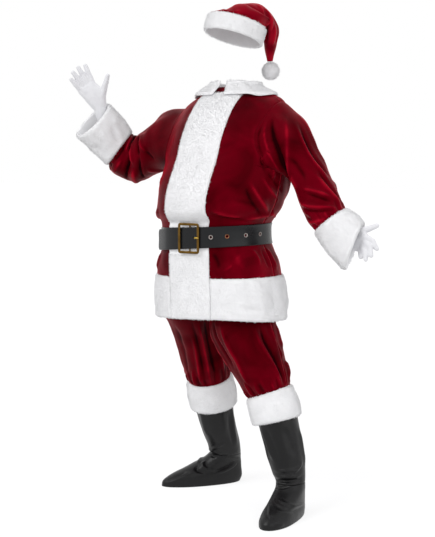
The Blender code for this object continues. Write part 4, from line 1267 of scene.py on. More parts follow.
end = 360.0 + TIP_ANGLE
corner_steps = 6.0 * (1.0 - np.sin(np.linspace(0.0, math.pi / 2, 18)))
along = np.concatenate((np.linspace(1.0, end - 6.2, 276), end - corner_steps))
corner = np.clip(TIP_ROUND - (end - along) * TIP_METRES_A_DEGREE, 0.0, TIP_ROUND)
half = BELT_HALF - TIP_ROUND + np.sqrt(TIP_ROUND**2 - corner**2)
across_strap = np.sin(np.linspace(-math.pi / 2, math.pi / 2, 21))[:, None]
angle = -along[None, ::-1]
strap_z = BELT_Z + across_strap * half[::-1]
base = on_belt(angle, strap_z)
outward = unit(
    np.cross(
        on_belt(angle + TURN_STEP, strap_z) - on_belt(angle - TURN_STEP, strap_z),
        on_belt(angle, strap_z + ALONG_STEP) - on_belt(angle, strap_z - ALONG_STEP),
    )
)
base = base + outward * belt_lift(along[::-1])[:, None]
thick = rolled(border_distance(base, False), LEATHER, 0.0016, 0.0010)
strap = wall(
    "belt_strap_leather", base + outward * thick[..., None], base, False, leather, "black_leather"
)
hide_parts("belt_strap")
drilled(strap, [strap_place(a) for a in EYELET_ANGLES], EYELET_HOLE, 4 * LEATHER)

# Nickel plate on the eyelets, bright but scuffed. One has worn through to its copper.
METALS = {
    "scuffed_nickel_plate": ("#b3a9a4", 0.28, 60.0),
    "worn_copper_plate": ("#9c6a4e", 0.34, 60.0),
    "antique_brass": ("#6e5326", 0.36, 45.0),
    "rubbed_brass": ("#c9a851", 0.26, 60.0),
}


def metal(name, colour, roughness, wear_scale):
    """A polished metal, a little darker and duller in its hollows and where it has been handled."""
    made, tree, output = new_material(name)
    position = add_node(tree, "ShaderNodeTexCoord").outputs["Object"]
    wear = add_node(
        tree, "ShaderNodeTexNoise", {"Vector": position, "Scale": wear_scale, "Detail": 5.0}
    )
    dark = tuple(0.55 * c for c in linear(colour)[:3]) + (1.0,)
    shade = add_ramp(tree, wear.outputs["Fac"], (0.32, dark), (0.58, linear(colour)))
    dull = add_node(
        tree,
        "ShaderNodeMapRange",
        {"Value": wear.outputs["Fac"], "To Min": roughness + 0.14, "To Max": roughness},
    )
    bump = add_bump(tree, wear.outputs["Fac"], 0.12, 0.0005)
    surface = add_node(
        tree,
        "ShaderNodeBsdfPrincipled",
        {
            "Base Color": shade,
            "Metallic": 1.0,
            "Roughness": dull.outputs["Result"],
            "Normal": bump,
        },
    )
    tree.links.new(surface.outputs[0], output.inputs["Surface"])
    return made


metals = {name: metal(name, *values) for name, values in METALS.items()}
EYELET_PROFILE = [(EYELET_HOLE - 0.0004, -0.002), (EYELET_HOLE - 0.0004, 0.0008)] + [
    (
        (EYELET_RIM + EYELET_HOLE) / 2 - (EYELET_RIM - EYELET_HOLE) / 2 * math.cos(a),
        EYELET_PROUD + 0.0018 * math.sin(a),
    )
    for a in np.linspace(0.5, math.pi, 8)
] + [(EYELET_RIM - 0.0006, -0.0002)]
for number, angle in enumerate(EYELET_ANGLES[1:], 1):
    ring = mesh_of("eyelet", *lathe(EYELET_PROFILE, *strap_place(angle), 40))
    finish = metals["worn_copper_plate" if number == 2 else "scuffed_nickel_plate"]
    eyelet = plain_object(f"eyelet_{number}_ring", ring, finish)
    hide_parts(f"eyelet_{number}")


# The buckle: a flat cast frame in antique brass that lies on the strap, with a middle bar behind it
# that the strap's fixed end turns round, and a prong that comes up through the first hole.
BUCKLE_X = 0.006
BUCKLE_WIDE = 0.086
BUCKLE_BAR = 0.009
BUCKLE_THICK = 0.004
BUCKLE_CORNER = 0.005
BUCKLE_GAP = 0.0020
MIDDLE_BAR = 0.005
PRONG = 0.0044

front_y = on_body(np.array(0.0), np.array(BELT_Z))
strap_back = front_y[1] - belt_lift(1.0)
bar_y = strap_back - LEATHER / 2
frame_back = strap_back - 2 * LEATHER - BUCKLE_GAP
frame_y = frame_back - BUCKLE_THICK / 2
buckle_z = front_y[2]


def rounded_box(shape, middle, size, bevel):
    """Adds a box with rounded edges."""
    place = Matrix.Translation(Vector(middle) - Vector(HELD_AT)) @ Matrix.Diagonal((*size, 1.0))
    made = bmesh.ops.create_cube(shape, size=1.0, matrix=place)
    edges = list({edge for vertex in made["verts"] for edge in vertex.link_edges})
    bmesh.ops.bevel(shape, geom=edges, offset=bevel, segments=3, affect="EDGES", profile=0.5)


def frame_ring(shape):
    """The frame: an oblong of rounded bar, a little domed in front and flat behind."""
    corner_x = BUCKLE_WIDE / 2 - BUCKLE_BAR / 2 - BUCKLE_CORNER
    corner_z = BUCKLE_TALL / 2 - BUCKLE_BAR / 2 - BUCKLE_CORNER
    path = []
    for quarter, (side, up) in enumerate(((1, 1), (-1, 1), (-1, -1), (1, -1))):
        for step in range(7):
            a = math.radians(quarter * 90.0 + step * 15.0)
            out = Vector((math.cos(a), 0.0, math.sin(a)))
            path.append((Vector((side * corner_x, 0.0, up * corner_z)) + out * BUCKLE_CORNER, out))
    section = []
    for step in range(16):
        a = math.radians(step * 22.5)
        power = 0.45
        across = math.copysign(abs(math.cos(a)) ** power, math.cos(a)) * BUCKLE_BAR / 2
        deep = math.copysign(abs(math.sin(a)) ** power, math.sin(a)) * BUCKLE_THICK / 2
        section.append((across, deep - 0.0006 * (deep < 0) * (1 - (2 * across / BUCKLE_BAR) ** 2)))
    middle = Vector((BUCKLE_X, frame_y, buckle_z)) - Vector(HELD_AT)
    rings = [
        [shape.verts.new(middle + at + out * across + Vector((0, deep, 0))) for across, deep in section]
        for at, out in path
    ]
    for here, ahead in zip(rings, rings[1:] + rings[:1]):
        for j in range(16):
            shape.faces.new((here[j], here[j - 1], ahead[j - 1], ahead[j]))


shape = bmesh.new()
frame_ring(shape)
bar_tall = BUCKLE_TALL - BUCKLE_BAR
rounded_box(
    shape, (BUCKLE_X, bar_y, buckle_z), (MIDDLE_BAR, LEATHER - 0.0006, bar_tall), 0.0008
)
for side in (-1.0, 1.0):
    post_z = buckle_z + side * (bar_tall / 2 - MIDDLE_BAR / 2)
    rounded_box(
        shape,
        (BUCKLE_X, (bar_y + frame_y) / 2, post_z),
        (MIDDLE_BAR, bar_y - frame_y, MIDDLE_BAR),
        0.0008,
    )
bmesh.ops.recalc_face_normals(shape, faces=shape.faces)
mesh = bpy.data.meshes.new("buckle")
shape.to_mesh(mesh)
shape.free()
buckle = plain_object("buckle_frame_casting", mesh, metals["antique_brass"])
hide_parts("buckle_frame")

hole = strap_place(EYELET_ANGLES[0])[0]
bar_inside = BUCKLE_X + BUCKLE_WIDE / 2 - BUCKLE_BAR
rise = frame_back - BUCKLE_THICK - PRONG / 2
PRONG_SIDES = 14
PRONG_RINGS = 37
PRONG_DEEPER = 1.25
PRONG_PATH = [
    (hole[0] - 0.001, hole[1] + 0.003, 0.8),
    (hole[0], hole[1] - 0.001, 1.0),
    (hole[0] + 0.003, (hole[1] + rise) / 2, 1.1),
    ((hole[0] + bar_inside) / 2, rise, 1.15),
    (bar_inside + BUCKLE_BAR * 0.3, rise - 0.0006, 1.0),
    (bar_inside + BUCKLE_BAR * 0.8, rise - 0.0002, 0.8),
    (bar_inside + BUCKLE_BAR * 1.05, rise + 0.0004, 0.35),
]
knots = np.arange(len(PRONG_PATH), dtype=float)
spine = smooth(knots, np.array([(x, y, share) for x, y, share in PRONG_PATH]), np.linspace(0, 6, PRONG_RINGS))
run = unit(np.gradient(spine[:, :2], axis=0))
turns = np.radians(np.arange(PRONG_SIDES) * 360.0 / PRONG_SIDES)
points = np.array(
    [
        (
            x - way[1] * math.cos(t) * share * PRONG / 2,
            y + way[0] * math.cos(t) * share * PRONG / 2,
            hole[2] + math.sin(t) * share * PRONG / 2 * PRONG_DEEPER,
        )
        for (x, y, share), way in zip(spine, run)
        for t in turns
    ]
)
number = np.arange(PRONG_RINGS * PRONG_SIDES).reshape(PRONG_RINGS, PRONG_SIDES)
ahead = np.roll(number, -1, axis=1)
faces = np.stack((number[:-1], ahead[:-1], ahead[1:], number[1:]), axis=-1).reshape(-1, 4).tolist()
faces += [number[0].tolist(), number[-1].tolist()]
prong = plain_object(
    "buckle_prong_casting", mesh_of("prong", points, faces), metals["rubbed_brass"]
)
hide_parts("buckle_prong")


# The trousers: a front and a back panel of velvet to each leg, on an elastic waist. The legs are
# wide and are drawn into plush cuffs below the knee, so long soft folds run into the cuffs' gathers.
CROTCH_Z = 0.700
TROUSER_SEAM_Z = 0.428
WAIST_LOW = 0.985
WAIST_TOP = 1.025
ELASTIC = 0.003
LEAN_ALL = 0.45
LEAN_NONE = 0.62
HIDDEN_STEP = 0.011

# x is the way out from the middle, so both legs share the rows above the crotch.
HIPS = [
    Level(0.700, 0.106, 0.004, 0.106, 0.125, 0.130),
    Level(0.714, 0.100, 0.004, 0.104, 0.130, 0.133),
    Level(0.735, 0.088, 0.004, 0.109, 0.136, 0.138),
    Level(0.775, 0.068, 0.004, 0.124, 0.143, 0.144),
    Level(0.830, 0.042, 0.004, 0.148, 0.147, 0.147),
    Level(0.900, 0.014, 0.004, 0.170, 0.147, 0.147),
    Level(0.985, 0.000, 0.004, 0.174, 0.146, 0.144),
    Level(1.025, 0.000, 0.004, 0.174, 0.146, 0.144),
]
LEFT_LEG = [
    Level(0.330, 0.248, -0.001, 0.079, 0.079, 0.079),
    Level(0.378, 0.235, -0.001, 0.080, 0.080, 0.080),
    Level(0.428, 0.216, -0.001, 0.076, 0.076, 0.076),
    Level(0.455, 0.206, -0.004, 0.083, 0.084, 0.082),
    Level(0.500, 0.186, -0.008, 0.092, 0.093, 0.091),
    Level(0.560, 0.160, -0.013, 0.104, 0.105, 0.102),
    Level(0.620, 0.131, -0.016, 0.116, 0.116, 0.113),
    Level(0.665, 0.117, -0.012, 0.112, 0.121, 0.121),
]
RIGHT_LEG = [
    Level(0.318, 0.110, 0.150, 0.079, 0.079, 0.079),
    Level(0.372, 0.110, 0.136, 0.080, 0.080, 0.080),
    Level(0.428, 0.110, 0.119, 0.077, 0.077, 0.077),
    Level(0.455, 0.110, 0.110, 0.083, 0.083, 0.083),
    Level(0.530, 0.112, 0.082, 0.083, 0.085, 0.087),
    Level(0.600, 0.109, 0.048, 0.085, 0.094, 0.096),
    Level(0.660, 0.105, 0.018, 0.092, 0.113, 0.116),
]

# Angle 0 is in front and 90 at the outside of the leg.
LEG_FOLDS = {
    "left": [
        # The inner edge's long ridge, and the dark channel behind it.
        Fold(-58, 0.690, -42, 0.500, -3, 0.008, 0.009, 0.3),
        Fold(-34, 0.690, -24, 0.520, -3, 0.011, -0.011, 0.0),
        Fold(-10, 0.690, -8, 0.450, 4, 0.008, 0.009, -0.4),
        Fold(-70, 0.600, -58, 0.440, 0, 0.009, -0.007, 0.0),
        # The smooth middle ends in a ridge with a wide dark channel outside it.
        Fold(48, 0.690, 78, 0.440, -6, 0.009, 0.006, 0.5),
        Fold(62, 0.690, 86, 0.430, -6, 0.011, -0.013, 0.0),
        Fold(84, 0.690, 100, 0.520, -4, 0.009, 0.010, -0.3),
        Fold(108, 0.680, 112, 0.560, 0, 0.008, 0.007, 0.0),
        Fold(104, 0.520, 124, 0.440, 0, 0.012, 0.009, 0.0),
        # Behind.
        Fold(134, 0.690, 140, 0.470, 4, 0.011, -0.009, 0.0),
        Fold(158, 0.680, 164, 0.440, -4, 0.012, 0.009, 0.3),
        Fold(184, 0.690, 186, 0.500, 3, 0.010, -0.008, 0.0),
        Fold(208, 0.680, 200, 0.440, -3, 0.011, 0.009, -0.3),
        Fold(236, 0.670, 226, 0.460, 0, 0.010, -0.007, 0.0),
    ],
    "right": [
        Fold(-20, 0.620, -8, 0.440, -2, 0.007, 0.008, 0.4),
        Fold(-32, 0.690, -22, 0.440, 0, 0.009, -0.007, 0.0),
        Fold(-46, 0.690, -36, 0.430, 0, 0.008, 0.009, -0.3),
        Fold(-60, 0.690, -52, 0.440, 2, 0.009, -0.010, 0.0),
        Fold(-84, 0.660, -74, 0.440, 0, 0.008, 0.008, 0.0),
        Fold(4, 0.500, 8, 0.430, 0, 0.006, 0.006, 0.0),
        Fold(16, 0.660, 30, 0.460, -4, 0.012, -0.005, 0.0),
        Fold(44, 0.690, 62, 0.450, -4, 0.013, 0.006, 0.2),
        Fold(80, 0.690, 92, 0.460, 0, 0.011, -0.007, 0.0),
        Fold(112, 0.690, 118, 0.450, 0, 0.012, 0.009, 0.0),
        Fold(140, 0.690, 144, 0.480, 4, 0.010, -0.008, 0.0),
        Fold(166, 0.680, 170, 0.440, -4, 0.012, 0.009, 0.3),
        Fold(194, 0.690, 190, 0.490, 3, 0.010, -0.008, 0.0),
        Fold(222, 0.680, 214, 0.440, -3, 0.011, 0.009, -0.3),
        Fold(248, 0.670, 240, 0.460, 0, 0.010, -0.007, 0.0),
    ],
}


def leg_lean(z):
    return ease((LEAN_NONE - z) / (LEAN_NONE - LEAN_ALL))


def inside_angle(tube, z):
    """How far round the inner edge is from the front: at the inseam, then at the middle seam."""
    rings = smooth(tube.knots, tube.rings, z)
    share = np.abs(rings[..., 0, 0]) / np.abs(rings[..., 1, 0])
    angle = np.degrees(np.arcsin(np.clip(share, 0.0, 1.0)))
    return np.where(z <= CROTCH_Z, 90.0, angle)


leg_z = np.concatenate(
    (
        spaced(TROUSER_SEAM_Z, CROTCH_Z)[:-1],
        [CROTCH_Z],
        spaced(CROTCH_Z, WAIST_LOW, HIDDEN_STEP)[1:],
    )
)
across_panel = np.linspace(0.0, 1.0, 62)
LEGS = {"left": (LEFT_LEG, 1.0, 1), "right": (RIGHT_LEG, -1.0, -1)}
for side, (table, outward_x, way) in LEGS.items():
    tube = level_tube(table + HIPS, 2.0, 0.0, leg_lean, outward_x)
    place = partial(on_tube, tube)
    inside = inside_angle(tube, leg_z)[:, None]
    front_angles = -inside + (90.0 + inside) * across_panel
    back_angles = 90.0 + (90.0 + inside) * across_panel
    folds = LEG_FOLDS[side] + gathers(TROUSER_SEAM_Z, 0.075, 34, 0.0055, seed=20 + way)
    for half_name, angles in (("front", front_angles), ("back", back_angles)):
        panel = sewn_piece(
            f"trouser_{side}_{half_name}",
            place,
            angles[:, ::way],
            leg_z[:, None],
            VELVET_CLOTH,
            folds,
            seed=30 + way,
            # Both legs are painted darker all over, the right one more: painted shade.
            nap_and_painted_light=-0.12 if side == "left" else -0.25,
        )
    plush_piece(
        f"trouser_cuff_{side}",
        place,
        ring_of(place, 0.378, way),
        rows_of(place, table[0].z, TROUSER_SEAM_Z),
        flat=(0.52, 0.115),
        area=0.056,
        seed=40 + way,
        cloth=TURNED_PLUSH,
        closed=True,
    )

on_hips = partial(on_tube, level_tube(HIPS, 2.0))
waist_cloth = VELVET_CLOTH._replace(thick=ELASTIC, pinched=ELASTIC, ripple_height=0.001)
waistband = sewn_piece(
    "waistband",
    on_hips,
    (np.arange(180) * 2.0)[None, :],
    spaced(WAIST_LOW, WAIST_TOP)[:, None],
    waist_cloth,
    [
        Fold(a, WAIST_LOW + 0.002, a, WAIST_TOP - 0.002, 0, 0.004, 0.0016, 0)
        for a in np.arange(0.0, 360.0, 7.5)
    ],
    closed=True,
    seed=5,
    keep=0.004,
)


# The boot covers: black imitation leather, a shaft and a foot each, which the wearer pulls over
# their own shoes. They are open underneath, and the thin vinyl wrinkles at the ankle.
VINYL = 0.0015
BOOT_LOW = 0.0015
BOOT_SEAM_Z = 0.118
BOOT_TOP = 0.365
BOOT_STEP = 0.0042

LEFT_BOOT = [
    Level(0.0015, 0.320, -0.120, 0.050, 0.098, 0.172),
    Level(0.022, 0.320, -0.118, 0.051, 0.096, 0.175),
    Level(0.042, 0.319, -0.105, 0.049, 0.085, 0.162),
    Level(0.060, 0.317, -0.080, 0.048, 0.072, 0.136),
    Level(0.078, 0.314, -0.050, 0.047, 0.066, 0.105),
    Level(0.098, 0.310, -0.018, 0.047, 0.062, 0.072),
    Level(0.118, 0.305, -0.004, 0.049, 0.056, 0.056),
    Level(0.150, 0.297, -0.003, 0.056, 0.060, 0.060),
    Level(0.215, 0.281, -0.003, 0.064, 0.065, 0.065),
    Level(0.290, 0.263, -0.002, 0.069, 0.069, 0.069),
    Level(0.365, 0.243, -0.001, 0.071, 0.071, 0.071),
]
RIGHT_BOOT = [
    Level(0.0015, -0.188, 0.145, 0.048, 0.134, 0.172),
    Level(0.022, -0.186, 0.147, 0.049, 0.132, 0.178),
    Level(0.042, -0.178, 0.153, 0.048, 0.110, 0.168),
    Level(0.060, -0.164, 0.168, 0.047, 0.088, 0.146),
    Level(0.078, -0.145, 0.188, 0.047, 0.074, 0.117),
    Level(0.098, -0.120, 0.211, 0.047, 0.066, 0.080),
    Level(0.118, -0.104, 0.222, 0.050, 0.060, 0.060),
    Level(0.150, -0.103, 0.212, 0.056, 0.060, 0.061),
    Level(0.215, -0.106, 0.184, 0.064, 0.066, 0.065),
    Level(0.290, -0.109, 0.158, 0.069, 0.069, 0.069),
    Level(0.365, -0.109, 0.138, 0.071, 0.071, 0.071),
]
BOOTS = {"left": (LEFT_BOOT, 1.0), "right": (RIGHT_BOOT, -43.0)}

# Angle 0 is at the toe, and 90 on the side to the wearer's left.
BOOT_FOLDS = {
    "left": [
        # The ankle: two sharp crosswise creases with the vinyl puffed between and over them.
        Fold(-44, 0.128, 84, 0.136, -4, 0.0060, -0.0080, 0.0),
        Fold(-40, 0.142, 92, 0.152, 0, 0.0070, 0.0060, 0.3),
        Fold(-30, 0.166, 78, 0.176, 4, 0.0060, 0.0040, -0.3),
        Fold(-60, 0.100, 40, 0.118, -4, 0.0050, -0.0065, 0.0),
        Fold(-46, 0.112, 30, 0.124, 0, 0.0050, 0.0050, 0.0),
        Fold(30, 0.150, 96, 0.196, 4, 0.0050, 0.0045, 0.4),
        # The foot: a crease over the instep, and soft ones down to the toe.
        Fold(-17, 0.084, 150, 0.040, 6, 0.0045, 0.0045, 0.4),
        Fold(-30, 0.074, 140, 0.032, 6, 0.0060, -0.0040, 0.0),
        Fold(-34, 0.070, 20, 0.034, 0, 0.0060, 0.0035, 0.3),
        Fold(20, 0.036, 68, 0.010, 0, 0.0080, 0.0030, 0.0),
        Fold(-40, 0.330, -10, 0.190, 2, 0.0110, 0.0050, 0.3),
        Fold(-14, 0.320, 10, 0.200, 0, 0.0100, -0.0035, 0.0),
        Fold(40, 0.330, 62, 0.210, 0, 0.0130, -0.0040, 0.0),
        Fold(100, 0.320, 116, 0.160, 0, 0.0120, 0.0050, 0.0),
        Fold(128, 0.150, 228, 0.140, 0, 0.0060, -0.0065, 0.0),
        Fold(150, 0.176, 214, 0.164, 0, 0.0070, 0.0050, 0.0),
        Fold(-78, 0.150, -126, 0.130, 0, 0.0060, -0.0060, 0.0),
        Fold(-100, 0.320, -84, 0.200, 0, 0.0130, 0.0040, 0.0),
    ],
    "right": [
        # The ankle's curved crease, with the vinyl folded over it.
        Fold(34, 0.082, 98, 0.050, -14, 0.0050, -0.0075, 0.3),
        Fold(26, 0.096, 104, 0.062, -12, 0.0060, 0.0060, -0.3),
        Fold(96, 0.050, 130, 0.092, 6, 0.0045, -0.0060, 0.0),
        Fold(104, 0.044, 142, 0.082, 6, 0.0050, 0.0045, 0.3),
        Fold(-24, 0.124, 60, 0.108, 0, 0.0060, -0.0060, 0.0),
        Fold(-20, 0.138, 70, 0.126, 0, 0.0070, 0.0055, 0.3),
        Fold(-40, 0.096, 30, 0.084, 0, 0.0060, 0.0050, 0.0),
        Fold(10, 0.132, 84, 0.176, 4, 0.0050, 0.0040, 0.3),
        # The foot's long crease towards the toe, and the seam line round the heel.
        Fold(40, 0.060, 12, 0.020, 2, 0.0045, -0.0050, 0.0),
        Fold(60, 0.050, 24, 0.014, 3, 0.0060, 0.0040, 0.3),
        Fold(40, 0.132, 176, 0.092, 0, 0.0040, -0.0035, 0.0),
        Fold(142, 0.330, 128, 0.150, 0, 0.0110, 0.0055, 0.3),
        Fold(120, 0.300, 112, 0.150, 0, 0.0080, -0.0040, 0.0),
        Fold(100, 0.330, 92, 0.190, 0, 0.0120, 0.0040, 0.0),
        Fold(30, 0.330, 22, 0.190, 0, 0.0130, 0.0040, 0.0),
        Fold(180, 0.150, 260, 0.142, 0, 0.0060, -0.0060, 0.0),
        Fold(190, 0.176, 250, 0.164, 0, 0.0070, 0.0050, 0.0),
        Fold(-60, 0.320, -74, 0.180, 0, 0.0130, 0.0040, 0.0),
    ],
}

# Black vinyl: a knitted ground with a calendered skin, embossed with a fine leather grain. It has a
# soft satin light with no deep shine.
vinyl, tree, output = new_material("black_embossed_vinyl")
position = add_node(tree, "ShaderNodeTexCoord").outputs["Object"]
grain = add_node(
    tree, "ShaderNodeTexVoronoi", {"Vector": position, "Scale": 480.0}, feature="DISTANCE_TO_EDGE"
)
creases = add_node(
    tree, "ShaderNodeTexNoise", {"Vector": position, "Scale": 34.0, "Detail": 4.0, "Distortion": 0.8}
)
scuffs = add_node(tree, "ShaderNodeTexNoise", {"Vector": position, "Scale": 9.0, "Detail": 4.0})
shine = add_node(
    tree, "ShaderNodeMapRange", {"Value": scuffs.outputs["Fac"], "To Min": 0.27, "To Max": 0.44}
)
shade = add_ramp(tree, scuffs.outputs["Fac"], (0.0, linear("#070708")), (1.0, linear("#0e0d0f")))
fine = add_bump(tree, grain.outputs[0], 0.22, 0.0005)
bump = add_bump(tree, creases.outputs["Fac"], 0.22, 0.004, fine)
skin = add_node(
    tree,
    "ShaderNodeBsdfPrincipled",
    {
        "Base Color": shade,
        "Roughness": shine.outputs["Result"],
        "IOR": 1.42,
        "Specular IOR Level": 0.38,
        "Normal": bump,
    },
)
tree.links.new(skin.outputs[0], output.inputs["Surface"])
VINYL_CLOTH = Cloth(VINYL, 0.003, 0.0005, VINYL, 0.0, 0.050, 0.0016, vinyl, "black_vinyl")

for side, (table, turn) in BOOTS.items():
    place = partial(on_tube, level_tube(table, 2.0, turn))
    spans = {"foot": (BOOT_LOW, BOOT_SEAM_Z), "shaft": (BOOT_SEAM_Z, BOOT_TOP)}
    cuts = {"foot": ((0.62, 0.20), 0.066), "shaft": ((0.42, 0.26), 0.104)}
    for part, (low, high) in spans.items():
        piece = sewn_piece(
            f"boot_{part}_{side}",
            place,
            ring_of(place, 0.022 if part == "foot" else 0.290, step=BOOT_STEP),
            rows_of(place, low, high, BOOT_STEP),
            VINYL_CLOTH,
            BOOT_FOLDS[side],
            closed=True,
            seed=50,
            keep=0.004,
        )
        flat, area = cuts[part]


# The hat: a velvet cone that bends over and hangs beside the head, on a plush band, with a plush
# ball at its tip.
POMPOM_RADIUS = 0.034
POMPOM_AT = np.array((0.105, 0.198, 1.5645))
HAT_BAND = [
    Level(1.674, 0.0324, 0.0507, 0.099, 0.103, 0.103),
    Level(1.703, 0.0370, 0.0580, 0.100, 0.104, 0.104),
    Level(1.732, 0.0417, 0.0652, 0.099, 0.103, 0.103),
]
HAT_CONE = [
    Loop(0.004, 0.070, 1.766, 0.147, 0.080, 1.738, 0.094),
    Loop(0.042, 0.090, 1.790, 0.146, 0.118, 1.738, 0.080),
    Loop(0.094, 0.148, 1.793, 0.112, 0.158, 1.722, 0.060),
    Loop(0.135, 0.194, 1.726, 0.092, 0.172, 1.688, 0.043),
    Loop(0.126, 0.200, 1.662, 0.090, 0.180, 1.648, 0.029),
    Loop(0.110, 0.199, 1.600, 0.095, 0.191, 1.600, 0.014),
]
HAT_FACING = ((0.45, -0.89, 0.0), (0.45, -0.89, 0.0))
HAT_FOLDS = [
    # Across the bend, where the cone doubles over.
    Fold(-60, 2.05, 40, 2.60, 6, 0.009, -0.009, 0.3),
    Fold(-56, 2.65, 46, 3.20, 6, 0.008, 0.008, -0.3),
    Fold(-30, 2.95, 70, 2.95, 6, 0.006, -0.007, 0.0),
    Fold(-60, 3.05, 4, 4.10, 8, 0.008, 0.008, -0.3),
    Fold(-40, 1.20, 0, 2.10, 0, 0.034, 0.005, 0.0),
    Fold(-6, 3.10, 4, 5.30, 0, 0.018, 0.005, 0.0),
    # Down the tail.
    Fold(30, 3.10, 34, 4.90, 0, 0.008, -0.007, 0.0),
    Fold(-30, 3.60, -16, 5.20, 0, 0.007, 0.005, 0.0),
    Fold(-70, 3.40, -60, 5.20, 0, 0.007, -0.005, 0.0),
    # Behind.
    Fold(130, 2.10, 220, 2.50, 0, 0.010, -0.008, 0.0),
    Fold(126, 2.80, 216, 3.10, 0, 0.009, 0.008, 0.0),
    Fold(150, 3.30, 160, 5.00, 0, 0.008, -0.006, 0.0),
    Fold(200, 3.30, 204, 5.00, 0, 0.008, 0.006, 0.0),
    Fold(170, 0.20, 190, 1.70, 0, 0.013, -0.006, 0.0),
    Fold(110, 0.20, 128, 1.50, 0, 0.012, 0.006, 0.0),
]
on_hat_band = partial(on_tube, level_tube(HAT_BAND, 2.0, 0.0, np.ones_like))
hat_top = HAT_BAND[-1].z
hat_start = Loop(*on_hat_band(270.0, hat_top), *on_hat_band(90.0, hat_top), HAT_BAND[-1].front)
cone_tube = loop_tube([hat_start, *HAT_CONE], HAT_FACING)
on_cone = partial(joined_tube, cone_tube, lambda angle: on_hat_band(angle, hat_top))

plush_piece(
    "hat_band",
    on_hat_band,
    ring_of(on_hat_band, 1.703),
    rows_of(on_hat_band, HAT_BAND[0].z, hat_top, 0.004),
    flat=(0.64, 0.060),
    area=0.038,
    seed=60,
    closed=True,
)
cone = sewn_piece(
    "hat_cone",
    on_cone,
    ring_of(on_cone, 0.5),
    rows_of(on_cone, 0.0, len(HAT_CONE), 0.0046),
    VELVET_CLOTH._replace(ripple_length=0.04, ripple_height=0.0016),
    HAT_FOLDS + gathers(0.0, 0.55, 20, 0.0035, seed=61),
    closed=True,
    seed=61,
    keep=0.008,
    # The whole cone is painted lighter: a painted highlight.
    nap_and_painted_light=0.55,
)

ball = bmesh.new()
bmesh.ops.create_icosphere(ball, subdivisions=4, radius=POMPOM_RADIUS - 0.005)
for vertex in ball.verts:
    vertex.co *= 1.0 + 0.05 * noise.noise(vertex.co * 60.0)
bmesh.ops.translate(ball, vec=POMPOM_AT - HELD_AT, verts=ball.verts)
mesh = bpy.data.meshes.new("pompom")
ball.to_mesh(mesh)
ball.free()
everywhere = mesh.attributes.new("outside", "BOOLEAN", "FACE")
everywhere.data.foreach_set("value", np.ones(len(mesh.polygons), bool))
pompom = plain_object("pompom_cloth", mesh, plush)
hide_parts("pompom")
grow_pile(pompom, seed=62, density=120000.0, length=0.007)


# The gloves: white cotton knit, cut like a dress glove with a thumb and four fingers. The skin is
# drawn over a ball at each joint, then hollowed and left open at the wrist.
COTTON = 0.0015
GLOVE_VOXEL = 0.0022

# A ball at a glove's joint. The skin is stretched over each group of them.
Ball = namedtuple("Ball", "x y z radius")

LEFT_HAND = {
    "wrist": [Ball(0.485, 0.026, 0.977, 0.030), Ball(0.522, 0.031, 0.962, 0.023)],
    "palm": [
        Ball(0.518, 0.031, 0.963, 0.022),
        Ball(0.556, 0.022, 0.945, 0.013),
        Ball(0.570, 0.021, 0.985, 0.014),
        Ball(0.549, 0.033, 1.000, 0.013),
    ],
    "thumb": [Ball(0.550, 0.034, 1.004, 0.013), Ball(0.599, 0.049, 1.024, 0.009)],
    "index": [
        Ball(0.568, 0.021, 0.987, 0.013),
        Ball(0.603, 0.007, 0.976, 0.009),
        Ball(0.620, 0.005, 0.950, 0.008),
    ],
    "middle": [
        Ball(0.568, 0.019, 0.973, 0.013),
        Ball(0.601, -0.007, 0.957, 0.009),
        Ball(0.609, -0.015, 0.928, 0.008),
    ],
    "ring": [
        Ball(0.563, 0.018, 0.957, 0.013),
        Ball(0.587, -0.011, 0.938, 0.009),
        Ball(0.591, -0.018, 0.914, 0.008),
    ],
    "little": [Ball(0.555, 0.021, 0.945, 0.012), Ball(0.566, -0.003, 0.922, 0.009)],
}
RIGHT_HAND = {
    "wrist": [Ball(-0.472, -0.018, 1.362, 0.030), Ball(-0.494, -0.040, 1.436, 0.024)],
    "palm": [
        Ball(-0.492, -0.038, 1.432, 0.023),
        Ball(-0.545, -0.086, 1.498, 0.013),
        Ball(-0.515, -0.059, 1.523, 0.014),
        Ball(-0.481, -0.043, 1.492, 0.014),
    ],
    "thumb": [Ball(-0.479, -0.042, 1.488, 0.014), Ball(-0.452, -0.046, 1.554, 0.009)],
    "index": [Ball(-0.514, -0.057, 1.524, 0.0125), Ball(-0.534, -0.074, 1.592, 0.009)],
    "middle": [Ball(-0.526, -0.067, 1.520, 0.012), Ball(-0.553, -0.092, 1.584, 0.009)],
    "ring": [Ball(-0.537, -0.077, 1.511, 0.012), Ball(-0.564, -0.110, 1.566, 0.009)],
    "little": [Ball(-0.545, -0.087, 1.499, 0.0115), Ball(-0.566, -0.120, 1.540, 0.008)],
}

# White cotton: a fine stockinette knit, bleached. Quite matt, with faint ribs under a millimetre
# apart, drawn at twice their real size so that they show.
cotton, tree, output = new_material("white_cotton_knit")
position = add_node(tree, "ShaderNodeTexCoord").outputs["Object"]
ribs = add_node(
    tree, "ShaderNodeTexWave", {"Vector": position, "Scale": 190.0, "Distortion": 1.5}
)
rumples = add_node(tree, "ShaderNodeTexNoise", {"Vector": position, "Scale": 60.0, "Detail": 3.0})
shade = add_ramp(tree, rumples.outputs["Fac"], (0.0, linear("#d2d2d6")), (1.0, linear("#e0e0e3")))
fine = add_bump(tree, ribs.outputs["Fac"], 0.18, 0.0005)
bump = add_bump(tree, rumples.outputs["Fac"], 0.25, 0.003, fine)
knit = add_node(
    tree,
    "ShaderNodeBsdfPrincipled",
    {
        "Base Color": shade,
        "Roughness": 0.9,
        "Specular IOR Level": 0.2,
        "Sheen Weight": 0.15,
        "Normal": bump,
    },
)
tree.links.new(knit.outputs[0], output.inputs["Surface"])


